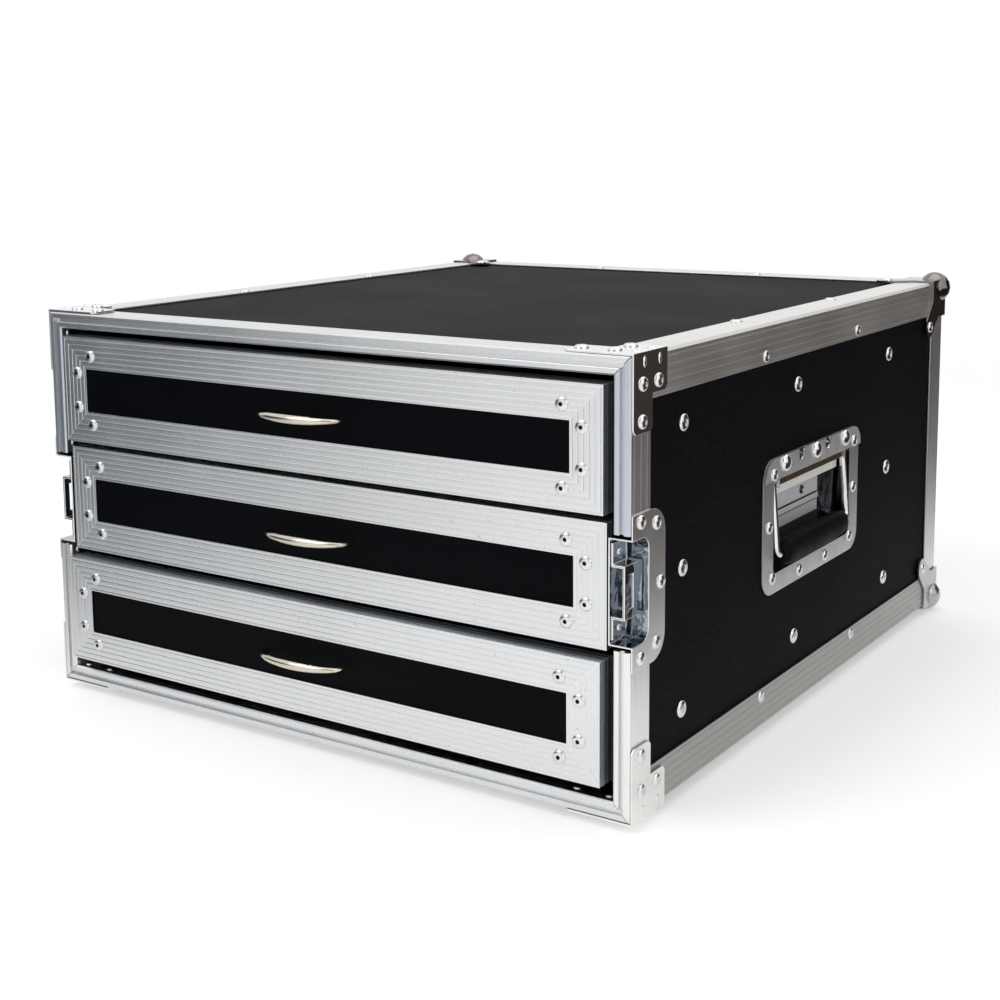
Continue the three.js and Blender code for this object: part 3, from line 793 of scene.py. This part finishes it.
@dataclass(frozen=True)
class Rivet:
    """A rivet head, drawn along its axis from the sheet that it holds."""

    radius: float
    height: float
    bore: float = 0.0
    dimple: float = 0.0
    finish: Finish = RIVET_STEEL
    # by default the faces inside the bore are lined near-black as painted shade
    lining: Finish = PAINTED_SHADE_BLACK
    rim: float = 0.25 * MM
    sink: float = 0.3 * MM
    floor_share: float = 0.82
    lined_share: float = 0.9
    crease: float = 38.0
    steps: int = 20
    rings: int = 4

    def profile(self) -> list[tuple[float, float]]:
        """Points from the middle of the top, over the dome, to the middle of the foot.

        Returns:
            The points as radius and height.
        """
        inner, floor = self.bore, self.height - self.dimple
        points = [(0.0, floor)]
        if inner:
            points.append((self.floor_share * inner, floor))
        for ring in range(self.rings + 1):
            angle = math.pi / 2 * ring / self.rings
            radius = inner + (self.radius - inner) * math.sin(angle)
            points.append((radius, self.rim + (self.height - self.rim) * math.cos(angle)))
        return points + [(self.radius, -self.sink), (0.0, -self.sink)]

    def head(self) -> Mesh:
        """One rivet head, with the faces inside its bore numbered 1.

        Returns:
            The head.
        """
        mesh = revolve(self.profile(), self.steps)
        for face in mesh.faces:
            middle = face.calc_center_median()
            inside = middle.xy.length < self.lined_share * self.bore
            face.material_index = 1 if inside and middle.z > 0.0 else 0
        return mesh

    def set_in(self, name: str, places: Sequence[Place], body: str = "case") -> None:
        """Sets a head at each place, all of them in one piece.

        Args:
            name: the piece's name.
            places: points on the sheet and the directions that it faces.
            body: the body that the rivets ride on.
        """
        mesh = stamp(self.head(), places)
        shade(mesh, self.crease)
        piece(name, mesh, [self.finish, self.lining], body)


PANEL_RIVET = Rivet(6.2 * MM, 2.1 * MM, bore=2.6 * MM, dimple=0.8 * MM, lining=ZINC)
EDGE_RIVET = Rivet(4.6 * MM, 1.7 * MM, bore=1.6 * MM, dimple=0.5 * MM, lining=ZINC)
BRACE_RIVET = Rivet(4.9 * MM, 2.0 * MM, bore=1.6 * MM, dimple=0.4 * MM, lining=ZINC)
POP_RIVET = Rivet(4.8 * MM, 1.6 * MM, bore=1.5 * MM, dimple=1.2 * MM)
SMALL_RIVET = Rivet(3.1 * MM, 1.3 * MM)
COVER_RIVET = Rivet(6.9 * MM, 3.6 * MM, finish=CHROME, rings=6, steps=24)
# the floor rivet takes the same dark steel with its painted brown tint
FLOOR_RIVET = Rivet(3.6 * MM, 1.4 * MM, bore=1.3 * MM, dimple=0.3 * MM, finish=SPRING_STEEL_BROWN_REFLECTION,
                    lining=CHROME)


@dataclass(frozen=True)
class Datum:
    """The case's planes over its edging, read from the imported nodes."""

    front: float
    back: float
    side: float
    top: float
    bottom: float

    @classmethod
    def read(cls) -> Datum:
        """Reads the planes from the rail and the edges.

        Returns:
            The planes.
        """
        rail_low, rail_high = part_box("front_top_rail")
        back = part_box("back_top_edge")[1].y
        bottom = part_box("front_bottom_rail")[0].z
        return cls(rail_low.y, back, rail_high.x, rail_high.z, bottom)

    def at(self, x: float, depth: float, height: float) -> Vector:
        """A point from the case's middle, front plane and underside, given in millimetres."""
        return Vector((x * MM, self.front + depth * MM, self.bottom + height * MM))

    @property
    def tall(self) -> float:
        """The case's height in millimetres."""
        return (self.top - self.bottom) / MM

    @property
    def deep(self) -> float:
        """The case's depth in millimetres."""
        return (self.back - self.front) / MM

    @property
    def half(self) -> float:
        """Half the case's width in millimetres."""
        return self.side / MM


def pair(name: str) -> list[str]:
    """The right and the left node of a name."""
    return [f"{side.word}_{name}" for side in Side]


@dataclass
class Shell:
    """Laminated panels, the extrusions along their edges and the rivets through them."""

    datum: Datum
    rounding: float = 0.35 * MM
    panel_rivet_depths: tuple[float, ...] = (76.0, 267.0, 464.0)
    panel_rivet_heights: tuple[float, ...] = (54.0, 153.0, 252.2)
    edge_rivet_inset: float = 24.0
    edge_rivet_depths: tuple[float, ...] = (203.7, 384.7)
    back_rivet_reach: float = 88.0
    lip_rivet_depth: float = 8.6
    lip_rivet_heights: tuple[float, ...] = (20.6, 109.5, 198.4, 287.7)
    sill_rivet_reaches: tuple[float, ...] = (246.0, 221.5)
    lintel_rivet_reaches: tuple[float, ...] = (221.5, 47.5)

    def build(self) -> None:
        """Dresses the panels and the extrusions and sets their rivets."""
        def faces_front(part: Face) -> bool:
            """True for the faces that look forwards."""
            return part.normal.y < -0.5

        for node in (*pair("side_panel"), "top_panel", "bottom_panel", "back_panel"):
            coat(node, PANEL)
        # the upper stiles' front faces take the darker bluish copy: painted shade and painted
        # reflection
        face = [(SHADED_STILE_FACE, faces_front)]
        runs = (
            (TOP_EDGE, pair("top_edge"), ()),
            # the bottom edges take the darker copy, as painted shade
            (SHADED_LOWER_EDGE, pair("bottom_edge"), ()),
            (BACK_EDGE, pair("back_edge"), ()),
            (STILE, pair("front_upper_stile"), face),
            (STILE, pair("front_lower_stile"), ()),
            (CROSS_EDGE, ["back_top_edge", "back_bottom_edge", "front_top_rail",
                          "front_bottom_rail"], ()),
        )
        for finish, nodes, zones in runs:
            for node in nodes:
                dress(node, finish, self.rounding, crease=24.0, over=60.0, zones=zones)
        PANEL_RIVET.set_in("panel_rivets", self.panel_places())
        EDGE_RIVET.set_in("edge_rivets", self.edge_places())
        SMALL_RIVET.set_in("lip_rivets", self.lip_places())

    def panel_places(self) -> list[Place]:
        """Rivets through the side panels, with none under the handle.

        Returns:
            Their places.
        """
        places = []
        for side in Side:
            face = side.outer(f"{side.word}_side_panel")
            for i, depth in enumerate(self.panel_rivet_depths):
                for j, height in enumerate(self.panel_rivet_heights):
                    if (i, j) != (1, 1):
                        places.append((self.datum.at(face, depth, height), side.outward))
        return places

    def edge_places(self) -> list[Place]:
        """Rivets through both faces of the edge extrusions.

        Returns:
            Their places.
        """
        datum, inset = self.datum, self.edge_rivet_inset
        deep, tall = datum.deep, datum.tall
        low, high, near = inset, tall - inset, deep - inset
        places = []
        for side in Side:
            out = side.value * datum.half
            inner = side.value * (datum.half - inset)
            for depth in self.edge_rivet_depths:
                places += [(datum.at(out, depth, low), side.outward),
                           (datum.at(out, depth, high), side.outward),
                           (datum.at(inner, depth, 0.0), DOWN),
                           (datum.at(inner, depth, tall), UP)]
            reach = side.value * self.back_rivet_reach
            places += [(datum.at(reach, deep, low), BACK), (datum.at(reach, deep, high), BACK),
                       (datum.at(reach, near, 0.0), DOWN), (datum.at(reach, near, tall), UP)]
            for height in (tall / 3, tall * 2 / 3):
                places.append((datum.at(inner, deep, height), BACK))
        return places

    def lip_places(self) -> list[Place]:
        """Small rivets inside the front opening.

        Returns:
            Their places.
        """
        datum, depth = self.datum, self.lip_rivet_depth
        sill = (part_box("front_bottom_rail")[1].z - datum.bottom) / MM
        lip = Side.RIGHT.inner("right_front_upper_stile")
        places = []
        for side in Side:
            for height in self.lip_rivet_heights:
                places.append((datum.at(side.value * lip, depth, height), -side.outward))
            for reach in self.sill_rivet_reaches:
                places.append((datum.at(side.value * reach, depth, sill), UP))
            for reach in self.lintel_rivet_reaches:
                places.append((datum.at(side.value * reach, depth, datum.tall - sill), DOWN))
        return places


@dataclass
class Corner:
    """A fitting over one corner of the case."""

    datum: Datum
    side: Side
    upper: bool

    @property
    def word(self) -> str:
        """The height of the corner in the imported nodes."""
        return "top" if self.upper else "bottom"

    @property
    def sign(self) -> float:
        """1 for an upper corner, -1 for a lower one."""
        return 1.0 if self.upper else -1.0

    @property
    def level(self) -> float:
        """The height of the case's top or underside."""
        return self.datum.tall if self.upper else 0.0


@dataclass
class FrontBrace(Corner):
    """A plate folded over a front corner, with three rivets a leg and two darts in its fold."""

    rivets: tuple[tuple[float, float], ...] = ((13.0, 18.5), (34.0, 18.5), (12.6, 42.5))
    darts: tuple[float, ...] = (14.9, 35.3)
    dart_size: tuple[float, float, float] = (1.2, 2.1, 3.9)
    dart_drop: float = 6.3
    dart_sink: float = 0.35

    def build(self) -> None:
        """Dresses the plate and adds rivets and darts."""
        node = f"{self.side.word}_front_{self.word}_brace"
        dress(node, CHROME if self.upper else SATIN_CHROME, 0.4 * MM)
        out = self.side.outer(node)
        over = (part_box(node)[self.upper].z - self.datum.bottom) / MM
        places = []
        for depth, drop in self.rivets:
            beside = self.datum.at(out, depth, self.level - self.sign * drop)
            above = self.datum.at(self.side.value * (self.datum.half - drop), depth, over)
            places += [(beside, self.side.outward), (above, UP * self.sign)]
        BRACE_RIVET.set_in(f"{node}_rivets", places)
        self.add_darts(node, out, over)

    def add_darts(self, node: str, out: float, over: float) -> None:
        """Presses the darts across the fold.

        Args:
            node: the plate's node.
            out: its outer face.
            over: its upper or lower face.
        """
        mesh = bmesh.new()
        rise, width, reach = self.dart_size
        sink, drop = self.dart_sink, self.dart_drop
        for depth in self.darts:
            for size, inward, lower in (((rise, width, reach), sink, drop),
                                        ((reach, width, rise), drop, sink)):
                made = bmesh.ops.create_uvsphere(mesh, u_segments=12, v_segments=8, radius=MM)
                move = self.datum.at(out - self.side.value * inward, depth,
                                     over - self.sign * lower)
                matrix = Matrix.Translation(move) @ Matrix.Diagonal((*size, 1.0))
                bmesh.ops.transform(mesh, matrix=matrix, verts=made["verts"])
        shade(mesh, 60.0)
        piece(f"{node}_darts", mesh, [CHROME])


@dataclass
class BallCorner(Corner):
    """A pressed ball with three riveted leaves."""

    rivet_inset: float = 39.5
    skin: float = 1.8

    def build(self) -> None:
        """Dresses the ball and sets a rivet in each leaf."""
        node = f"{self.side.word}_back_{self.word}_ball_corner"
        # the upper balls take the darkened chrome as a painted dark reflection
        dress(node, BALL_CHROME_DARK_REFLECTION if self.upper else BALL_SATIN, crease=34.0)
        datum, side, sign = self.datum, self.side, self.sign
        back = datum.deep - self.rivet_inset
        near = side.value * (datum.half - self.rivet_inset)
        inset = self.level - sign * self.rivet_inset
        BRACE_RIVET.set_in(f"{node}_rivets", [
            (datum.at(side.value * (datum.half + self.skin), back, inset), side.outward),
            (datum.at(near, back, self.level + sign * self.skin), UP * sign),
            (datum.at(near, datum.deep + self.skin, inset), BACK)])


@dataclass
class LatchDish:
    """The lid latch's dish with its riveted keeper."""

    datum: Datum
    side: Side
    flange_rivets: tuple[tuple[float, float], ...] = (
        (12.0, 198.0), (33.0, 193.5), (39.0, 153.0), (32.8, 113.6), (12.0, 108.2))
    foot_rivets: tuple[tuple[float, float], ...] = ((10.0, 177.6), (10.0, 127.4))
    flange_depth: float = 2.5
    foot_sheet: float = 1.8
    rounding: float = 0.6 * MM

    def build(self) -> None:
        """Dresses dish and keeper and sets their rivets."""
        side = self.side
        dish, keeper = f"{side.word}_latch_dish", f"{side.word}_latch_keeper"
        face = side.outer(dish)
        sunk = (abs(face) - self.flange_depth) * MM
        # the sunk pocket and the keeper take the darker chrome as painted shade and painted dark
        # reflection; their rounded edges take near-white chrome as a painted highlight
        dress(dish, SATIN_CHROME, self.rounding, rim=HIGHLIGHT_RIM_CHROME,
              zones=[(SHADED_POCKET_CHROME, lambda part: abs(part.calc_center_median().x) < sunk)])
        dress(keeper, SHADED_POCKET_CHROME, self.rounding, rim=HIGHLIGHT_RIM_CHROME)
        foot = side.value * (abs(side.inner(keeper)) + self.foot_sheet)
        for rivet, node, x, spots in ((BRACE_RIVET, dish, face, self.flange_rivets),
                                      (SMALL_RIVET, keeper, foot, self.foot_rivets)):
            places = [(self.datum.at(x, *spot), side.outward) for spot in spots]
            rivet.set_in(f"{node}_rivets", places)


@dataclass
class CarryHandle:
    """Recessed handle: tray, hinge cover with its spring, and the bail with its rubber grip."""

    datum: Datum
    side: Side
    middle: float = 298.5
    flange_rivets: tuple[tuple[float, float], ...] = (
        (80.0, 190.7), (84.0, 151.0), (77.4, 110.5), (26.0, 105.5))
    cover_foot: float = 186.0
    cover_rivets: tuple[float, ...] = (-59.2, 0.4, 59.9)
    cover_rivet_height: float = 196.4
    stakes: tuple[float, ...] = (-28.8, 23.5)
    stake_height: float = 198.4
    stake_half: float = 4.4
    stake_crown: float = 2.2
    spring_reach: float = 3.75
    lug_reach: float = 65.0
    wall_depth: float = 2.0
    floor_sheet: float = 1.2
    floor_half: float = 50.0
    floor_shade: float = 138.0
    bead_heights: tuple[float, float] = (155.0, 159.7)
    bead_drop: float = 7.2
    bead_half: float = 45.2
    bead_slack: float = 0.05
    # thickness and height of the dark strips of painted shadow beside the bead
    groove_size: tuple[float, float] = (0.3, 1.1)
    groove_bevel: float = 0.08
    floor_rivet: tuple[float, float] = (13.4, 160.2)
    bar_drop: float = 6.7
    bar_band: float = 13.0
    grip_core: float = 3.6
    grip_share: float = 0.67
    grip_taper: float = 0.35
    grip_rings: tuple[float, ...] = (38.0, 43.0, 47.0, 50.0, 53.0)

    def build(self) -> None:
        """Dresses the parts of the handle and sets the rivets."""
        word = f"{self.side.word}_handle"
        self.build_tray(f"{word}_tray")
        self.build_cover(f"{word}_cover")
        dress(f"{word}_bail", CHROME, crease=60.0, reshape=self.lower_bar)
        dress(f"{word}_grip", GRIP_RUBBER, crease=60.0, reshape=self.shape_grip)
        out = self.side.outward
        flange, cover = self.side.outer(f"{word}_tray"), self.side.outer(f"{word}_cover")
        places = []
        for reach, height in self.flange_rivets:
            face = cover if height > self.cover_foot else flange
            for depth in (self.middle - reach, self.middle + reach):
                places.append((self.datum.at(face, depth, height), out))
        BRACE_RIVET.set_in(f"{word}_flange_rivets", places)
        places = [(self.datum.at(cover, self.middle + shift, self.cover_rivet_height), out)
                  for shift in self.cover_rivets]
        COVER_RIVET.set_in(f"{word}_cover_rivets", places)
        self.build_stakes(f"{word}_stakes", cover)

    def lower_bar(self, mesh: Mesh) -> None:
        """Sets the bar of the bail lower, at the end of longer arms.

        Args:
            mesh: the copy of the bail.
        """
        bottom = min(vert.co.z for vert in mesh.verts)
        for vert in mesh.verts:
            if vert.co.z < bottom + self.bar_band * MM:
                vert.co.z -= self.bar_drop * MM

    def shape_grip(self, mesh: Mesh) -> None:
        """Slims the grip on its lowered bar and rounds it off towards its ends.

        Args:
            mesh: the copy of the grip.
        """
        middle = self.datum.at(0.0, self.middle, 0.0).y
        for ring in (way * reach * MM for reach in self.grip_rings for way in (-1, 1)):
            bmesh.ops.bisect_plane(mesh, geom=[*mesh.verts, *mesh.edges, *mesh.faces],
                                   dist=WELD, plane_co=(0.0, middle + ring, 0.0), plane_no=BACK)
        heights = [vert.co.z for vert in mesh.verts]
        axis = (min(heights) + max(heights)) / 2.0
        start = self.grip_rings[0] * MM
        length = max(abs(vert.co.y - middle) for vert in mesh.verts) - start
        for vert in mesh.verts:
            along = max(0.0, (abs(vert.co.y - middle) - start) / length)
            share = self.grip_share * (1.0 - self.grip_taper * along ** 2)
            rise = vert.co.z - axis
            beyond = max(0.0, abs(rise) - self.grip_core * MM)
            vert.co.z = (axis - self.bar_drop * MM
                         + math.copysign(abs(rise) - beyond * (1.0 - share), rise))

    def build_tray(self, node: str) -> None:
        """Dresses the tray with painted shade on the walls of its recess and a painted shadow of the
        grip on its lower floor, and adds a pressed bead and a rivet in its floor.

        Args:
            node: the tray's node.
        """
        sunk = (abs(self.side.outer(node)) - self.wall_depth) * MM
        middle = self.datum.at(0.0, self.middle, self.floor_shade)

        def in_wall(part: Face) -> bool:
            """True for the walls and ledges of the recess."""
            return abs(part.calc_center_median().x) < sunk

        def in_floor(part: Face) -> bool:
            """True for the floor of the well, between its slanted ends."""
            reach = abs(part.calc_center_median().y - middle.y)
            return in_wall(part) and abs(part.normal.x) > 0.9 and reach < self.floor_half * MM

        def in_light(part: Face) -> bool:
            """True for the floor above the shade of the grip."""
            return in_floor(part) and part.calc_center_median().z > middle.z

        def split_floor(mesh: Mesh) -> None:
            """Cuts the floor where the shade begins and moves its bead down.

            Args:
                mesh: the copy of the tray.
            """
            floor = [part for part in mesh.faces if in_floor(part)]
            parts = dict.fromkeys(part for face in floor for part in (*face.verts, *face.edges))
            bmesh.ops.bisect_plane(mesh, geom=[*parts, *floor], dist=WELD, plane_co=middle,
                                   plane_no=UP)
            heights = [self.datum.at(0.0, 0.0, height).z for height in self.bead_heights]
            for vert in mesh.verts:
                if any(abs(vert.co.z - height) < self.bead_slack * MM for height in heights):
                    vert.co.z -= self.bead_drop * MM

        # the floor above the grip's height keeps the paler floor zinc; the floor below it gets a
        # painted shadow, and the recess walls get painted shade
        dress(node, TRAY_ZINC, 0.25 * MM, reshape=split_floor,
              zones=[(TRAY_FLOOR, in_light), (TRAY_SHADE, in_floor), (SHADED_TRAY_WALL, in_wall)])
        floor = self.side.value * (abs(self.side.inner(node)) + self.floor_sheet)
        # dark strips beside the bead: painted shadow
        self.build_grooves(f"{node}_grooves", floor)
        shift, height = self.floor_rivet
        spot = self.datum.at(floor, self.middle + shift, height)
        FLOOR_RIVET.set_in(f"{node}_floor_rivet", [(spot, self.side.outward)])

    def build_grooves(self, name: str, floor: float) -> None:
        """Lays dark strips of painted shadow along both sides of the bead.

        Args:
            name: the piece's name.
            floor: the x of the tray's floor.
        """
        mesh = bmesh.new()
        thick, tall = self.groove_size
        low, high = (height - self.bead_drop for height in self.bead_heights)
        for height in (low - tall / 2, high + tall / 2):
            made = bmesh.ops.create_cube(mesh, size=MM)
            matrix = (Matrix.Translation(self.datum.at(floor, self.middle, height))
                      @ Matrix.Diagonal((thick, 2.0 * self.bead_half, tall, 1.0)))
            bmesh.ops.transform(mesh, matrix=matrix, verts=made["verts"])
        bmesh.ops.bevel(mesh, geom=mesh.edges, offset=self.groove_bevel * MM,
                        offset_type="OFFSET", segments=1, profile=0.5, affect="EDGES",
                        clamp_overlap=True, material=-1)
        shade(mesh, 30.0)
        piece(name, mesh, [PAINTED_SHADE_BLACK])

    def build_cover(self, node: str) -> None:
        """Dresses the cover in zinc and its spring in dark steel whose brown tint is a painted
        reflection.

        Args:
            node: the cover's node.
        """
        mesh = merged_copy(node)
        hinge = f"{self.side.word}_handle_hinge"
        x, y, z = next(joint["pos_m"] for joint in frame["joints"] if joint["name"] == hinge)
        reach, lugs = self.spring_reach * MM, self.lug_reach * MM
        for face in mesh.faces:
            inside = all(math.hypot(vert.co.x - x, vert.co.z - z) < reach
                         and abs(vert.co.y - y) < lugs for vert in face.verts)
            below = face.calc_center_median().z < z
            face.material_index = 1 if inside else 2 * below
        shade(mesh, 30.0)
        for face in mesh.faces:
            if face.material_index == 1:
                for edge in face.edges:
                    edge.smooth = edge.calc_face_angle(0.0) < math.radians(80.0)
        piece(f"{node}_dressed", mesh, [COVER_ZINC, SPRING_STEEL_BROWN_REFLECTION, SADDLE_ZINC], "case", [node])

    def build_stakes(self, name: str, cover: float) -> None:
        """Stakes the cover with small crowned squares.

        Args:
            name: the piece's name.
            cover: the cover's outer face.
        """
        template = bmesh.new()
        bmesh.ops.create_grid(template, x_segments=2, y_segments=2, size=self.stake_half * MM)
        crown = min(template.verts, key=lambda vert: vert.co.length)
        crown.co.z = self.stake_crown * MM
        bmesh.ops.subdivide_edges(template, edges=template.edges, cuts=1, use_grid_fill=True,
                                  smooth=0.6)
        mesh = stamp(template, [(self.datum.at(cover, self.middle + shift, self.stake_height),
                                 self.side.outward) for shift in self.stakes])
        shade(mesh, 20.0)
        piece(name, mesh, [CHROME])


@dataclass
class Drawer:
    """A drawer: box, ribbed trim with pop rivets, bow pull and its two slides."""

    number: int
    window_half: tuple[float, float] = (222.0, 17.8)
    rivet_shift: tuple[float, float] = (5.2, 4.1)
    rivet_clear: float = 9.6
    face_depth: float = 2.2
    rounding: float = 0.3 * MM

    def build(self) -> None:
        """Dresses the drawer's parts and sets its rivets."""
        name = f"drawer_{self.number}"
        low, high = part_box(f"{name}_trim")
        middle, half = (low + high) / 2, (high - low) / 2
        around = {"middle": (middle.x, middle.z), "half": (half.x, half.z)}
        trim = MitredExtrusion(f"{name}_trim_face", "extrusion", ALUMINIUM, 0.27, 1.0, **around)
        folded = GroovedReturn(f"{name}_trim_return", "extrusion", ALUMINIUM, 0.42, 1.0,
                               **around, front=low.y)
        face = low.y + self.face_depth * MM
        dress(f"{name}_trim", trim, self.rounding, crease=24.0, over=60.0,
              zones=[(folded, lambda part: part.calc_center_median().y > face)])
        dress(f"{name}_box", BOARD, self.rounding)
        dress(f"{name}_pull", NICKEL, crease=50.0)
        for side in Side:
            dress(f"{side.word}_{name}_case_slide", ZINC)
            dress(f"{side.word}_{name}_drawer_slide", ZINC)
        POP_RIVET.set_in(f"{name}_pop_rivets", self.front_places(middle, low.y), name)

    def front_places(self, middle: Vector, face: float) -> list[Place]:
        """Pop rivets beside the corners of the window.

        Args:
            middle: middle of the trim.
            face: its front plane.

        Returns:
            Eight places that face the front.
        """
        wide, tall = self.window_half
        over = (wide - self.rivet_shift[0], tall + self.rivet_clear)
        beside = (wide + self.rivet_clear, tall - self.rivet_shift[1])
        return [(Vector((middle.x + x_sign * across * MM, face, middle.z + z_sign * up * MM)),
                 FRONT)
                for x_sign in (-1, 1) for z_sign in (-1, 1) for across, up in (over, beside)]


# Studio
@dataclass(frozen=True)
class Card:
    """A card that only gloss sees: it stands or lies, and fades out towards its border."""

    name: str
    middle: tuple[float, float, float]
    size: tuple[float, float]
    turn: float
    tilt: float
    colour: Colour
    fade: tuple[float, float]

    def build(self) -> None:
        """Makes the card and its paint."""
        mesh = bmesh.new()
        bmesh.ops.create_grid(mesh, x_segments=1, y_segments=1, size=0.5)
        card = mesh_object(self.name, mesh)
        card.matrix_world = (Matrix.Translation(self.middle)
                             @ Matrix.Rotation(math.radians(self.turn), 4, "Z")
                             @ Matrix.Rotation(math.radians(self.tilt), 4, "X")
                             @ Matrix.Diagonal((*self.size, 1.0, 1.0)))
        for ray in ("camera", "diffuse", "transmission", "volume_scatter", "shadow"):
            setattr(card, f"visible_{ray}", False)
        paint = Paint(self.name)
        across, along, _ = paint.split(paint.place())
        shown = ((0.5 - abs(across)).between(0.0, 0.5 * self.fade[0])
                 * (0.5 - abs(along)).between(0.0, 0.5 * self.fade[1]))
        paint.dial({"Base Color": (0.0, 0.0, 0.0), "Specular IOR Level": 0.0,
                    "Emission Color": self.colour, "Emission Strength": 1.0, "Alpha": shown})
        card.data.materials.append(paint.material)


@dataclass(frozen=True)
class Lamp:
    """A square soft lamp aimed at the case."""

    name: str
    place: tuple[float, float, float]
    size: float
    power: float
    target: tuple[float, float, float] = (0.0, 0.0, 0.15)

    def build(self) -> None:
        """Hangs the lamp."""
        light = bpy.data.lights.new(self.name, "AREA")
        light.size = self.size
        light.energy = self.power
        aim = (Vector(self.target) - Vector(self.place)).to_track_quat("-Z", "Y")
        lamp = new_object(self.name, light)
        lamp.matrix_world = Matrix.Translation(self.place) @ aim.to_matrix().to_4x4()


@dataclass(frozen=True)
class Camera:
    """The camera at the photograph's viewing angle."""

    datum: Datum
    across: float = 736.2
    depth: float = -860.4
    height: float = 440.7
    turn: float = 34.01
    dip: float = 8.18
    roll: float = -0.52
    focal: float = 1.5947
    sensor: float = 36.0
    centre: tuple[float, float] = (0.4843, 0.3659)

    def build(self) -> None:
        """Places the camera."""
        lens = bpy.data.cameras.new("camera")
        lens.sensor_width = self.sensor
        lens.lens = self.sensor * self.focal
        lens.shift_x = 0.5 - self.centre[0]
        lens.shift_y = self.centre[1] - 0.5
        lens.clip_start = 0.05
        camera = new_object("camera", lens)
        turn = Matrix.Rotation(math.radians(self.turn), 4, "Z")
        dip = Matrix.Rotation(math.radians(90.0 - self.dip), 4, "X")
        roll = Matrix.Rotation(math.radians(self.roll), 4, "Z")
        place = self.datum.at(self.across, self.depth, self.height)
        camera.matrix_world = Matrix.Translation(place) @ turn @ dip @ roll
        bpy.context.scene.camera = camera


@dataclass(frozen=True)
class Studio:
    """Pale floor, white surround, soft lamps and grey cards for the metal to reflect."""

    datum: Datum
    ambient: float = 0.55
    floor_half: float = 6.0
    floor_glow: float = 0.30
    floor_reach: tuple[float, float] = (0.9, 2.2)
    lamps: tuple[Lamp, ...] = (
        Lamp("key", (-0.9, -2.0, 2.4), 1.8, 24.0),
        Lamp("top", (0.2, 0.4, 2.6), 2.2, 14.0),
        Lamp("fill", (2.4, -1.0, 1.6), 1.6, 8.0),
    )
    cards: tuple[Card, ...] = (
        Card("floor_back_right", (1.94, 2.2, 0.004), (3.2, 4.9), 0.0, 0.0, (0.050, 0.038, 0.034),
             (0.12, 0.12)),
        Card("wall_back_right", (2.6, 3.9, 1.2), (5.0, 3.0), -38.0, 90.0, (0.040, 0.030, 0.027),
             (0.3, 0.3)),
        Card("floor_front_left", (-1.75, -1.2, 0.003), (2.6, 3.6), -35.0, 0.0,
             (0.060, 0.078, 0.095), (0.8, 0.4)),
        Card("wall_front_left", (-3.2, -2.2, 0.6), (4.0, 1.9), -60.0, 90.0,
             (0.060, 0.078, 0.095), (0.6, 0.5)),
        Card("sky_front", (0.5, -2.7, 2.5), (4.6, 2.4), 0.0, 45.0, (0.22, 0.21, 0.21),
             (0.5, 0.7)),
    )

    def build(self) -> None:
        """Sets up everything round the object."""
        bpy.context.scene.view_settings.view_transform = "Standard"
        self.build_surround()
        self.build_floor()
        for part in (*self.lamps, *self.cards, Camera(self.datum)):
            part.build()

    def build_surround(self) -> None:
        """White to the camera and in gloss, softer as a light."""
        world = bpy.data.worlds.new("studio")
        world.use_nodes = True
        bpy.context.scene.world = world
        bench = NodeBench(world.node_tree)
        seen = (bench.ray("Is Camera Ray").most(bench.ray("Is Glossy Ray"))
                .most(bench.ray("Is Transmission Ray")))
        bench.feed(world.node_tree.nodes["Background"], {
            "Color": (1.0, 1.0, 1.0), "Strength": seen * (1.0 - self.ambient) + self.ambient})

    def build_floor(self) -> None:
        """A pale floor that keeps the shadow and melts into the surround farther out."""
        mesh = bmesh.new()
        bmesh.ops.create_grid(mesh, x_segments=1, y_segments=1, size=self.floor_half)
        floor = mesh_object("floor", mesh)
        paint = Paint("pale_floor")
        across, along, _ = paint.split(paint.place())
        near, far = self.floor_reach
        shown = 1.0 - ((across ** 2.0 + along ** 2.0) ** 0.5).between(near, far)
        paint.dial({"Base Color": (0.92, 0.92, 0.92), "Roughness": 1.0, "Specular IOR Level": 0.0,
                    "Emission Color": (1.0, 1.0, 1.0), "Emission Strength": self.floor_glow,
                    "Alpha": shown})
        floor.data.materials.append(paint.material)


def main() -> None:
    """Builds the classes in order."""
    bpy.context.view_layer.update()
    datum = Datum.read()
    Shell(datum).build()
    for side in Side:
        for upper in (True, False):
            FrontBrace(datum, side, upper).build()
            BallCorner(datum, side, upper).build()
        LatchDish(datum, side).build()
        CarryHandle(datum, side).build()
    for number in (1, 2, 3):
        Drawer(number).build()
    Studio(datum).build()


if __name__ == "__main__":
    logging.basicConfig(level=logging.INFO, format="%(message)s")
    main()
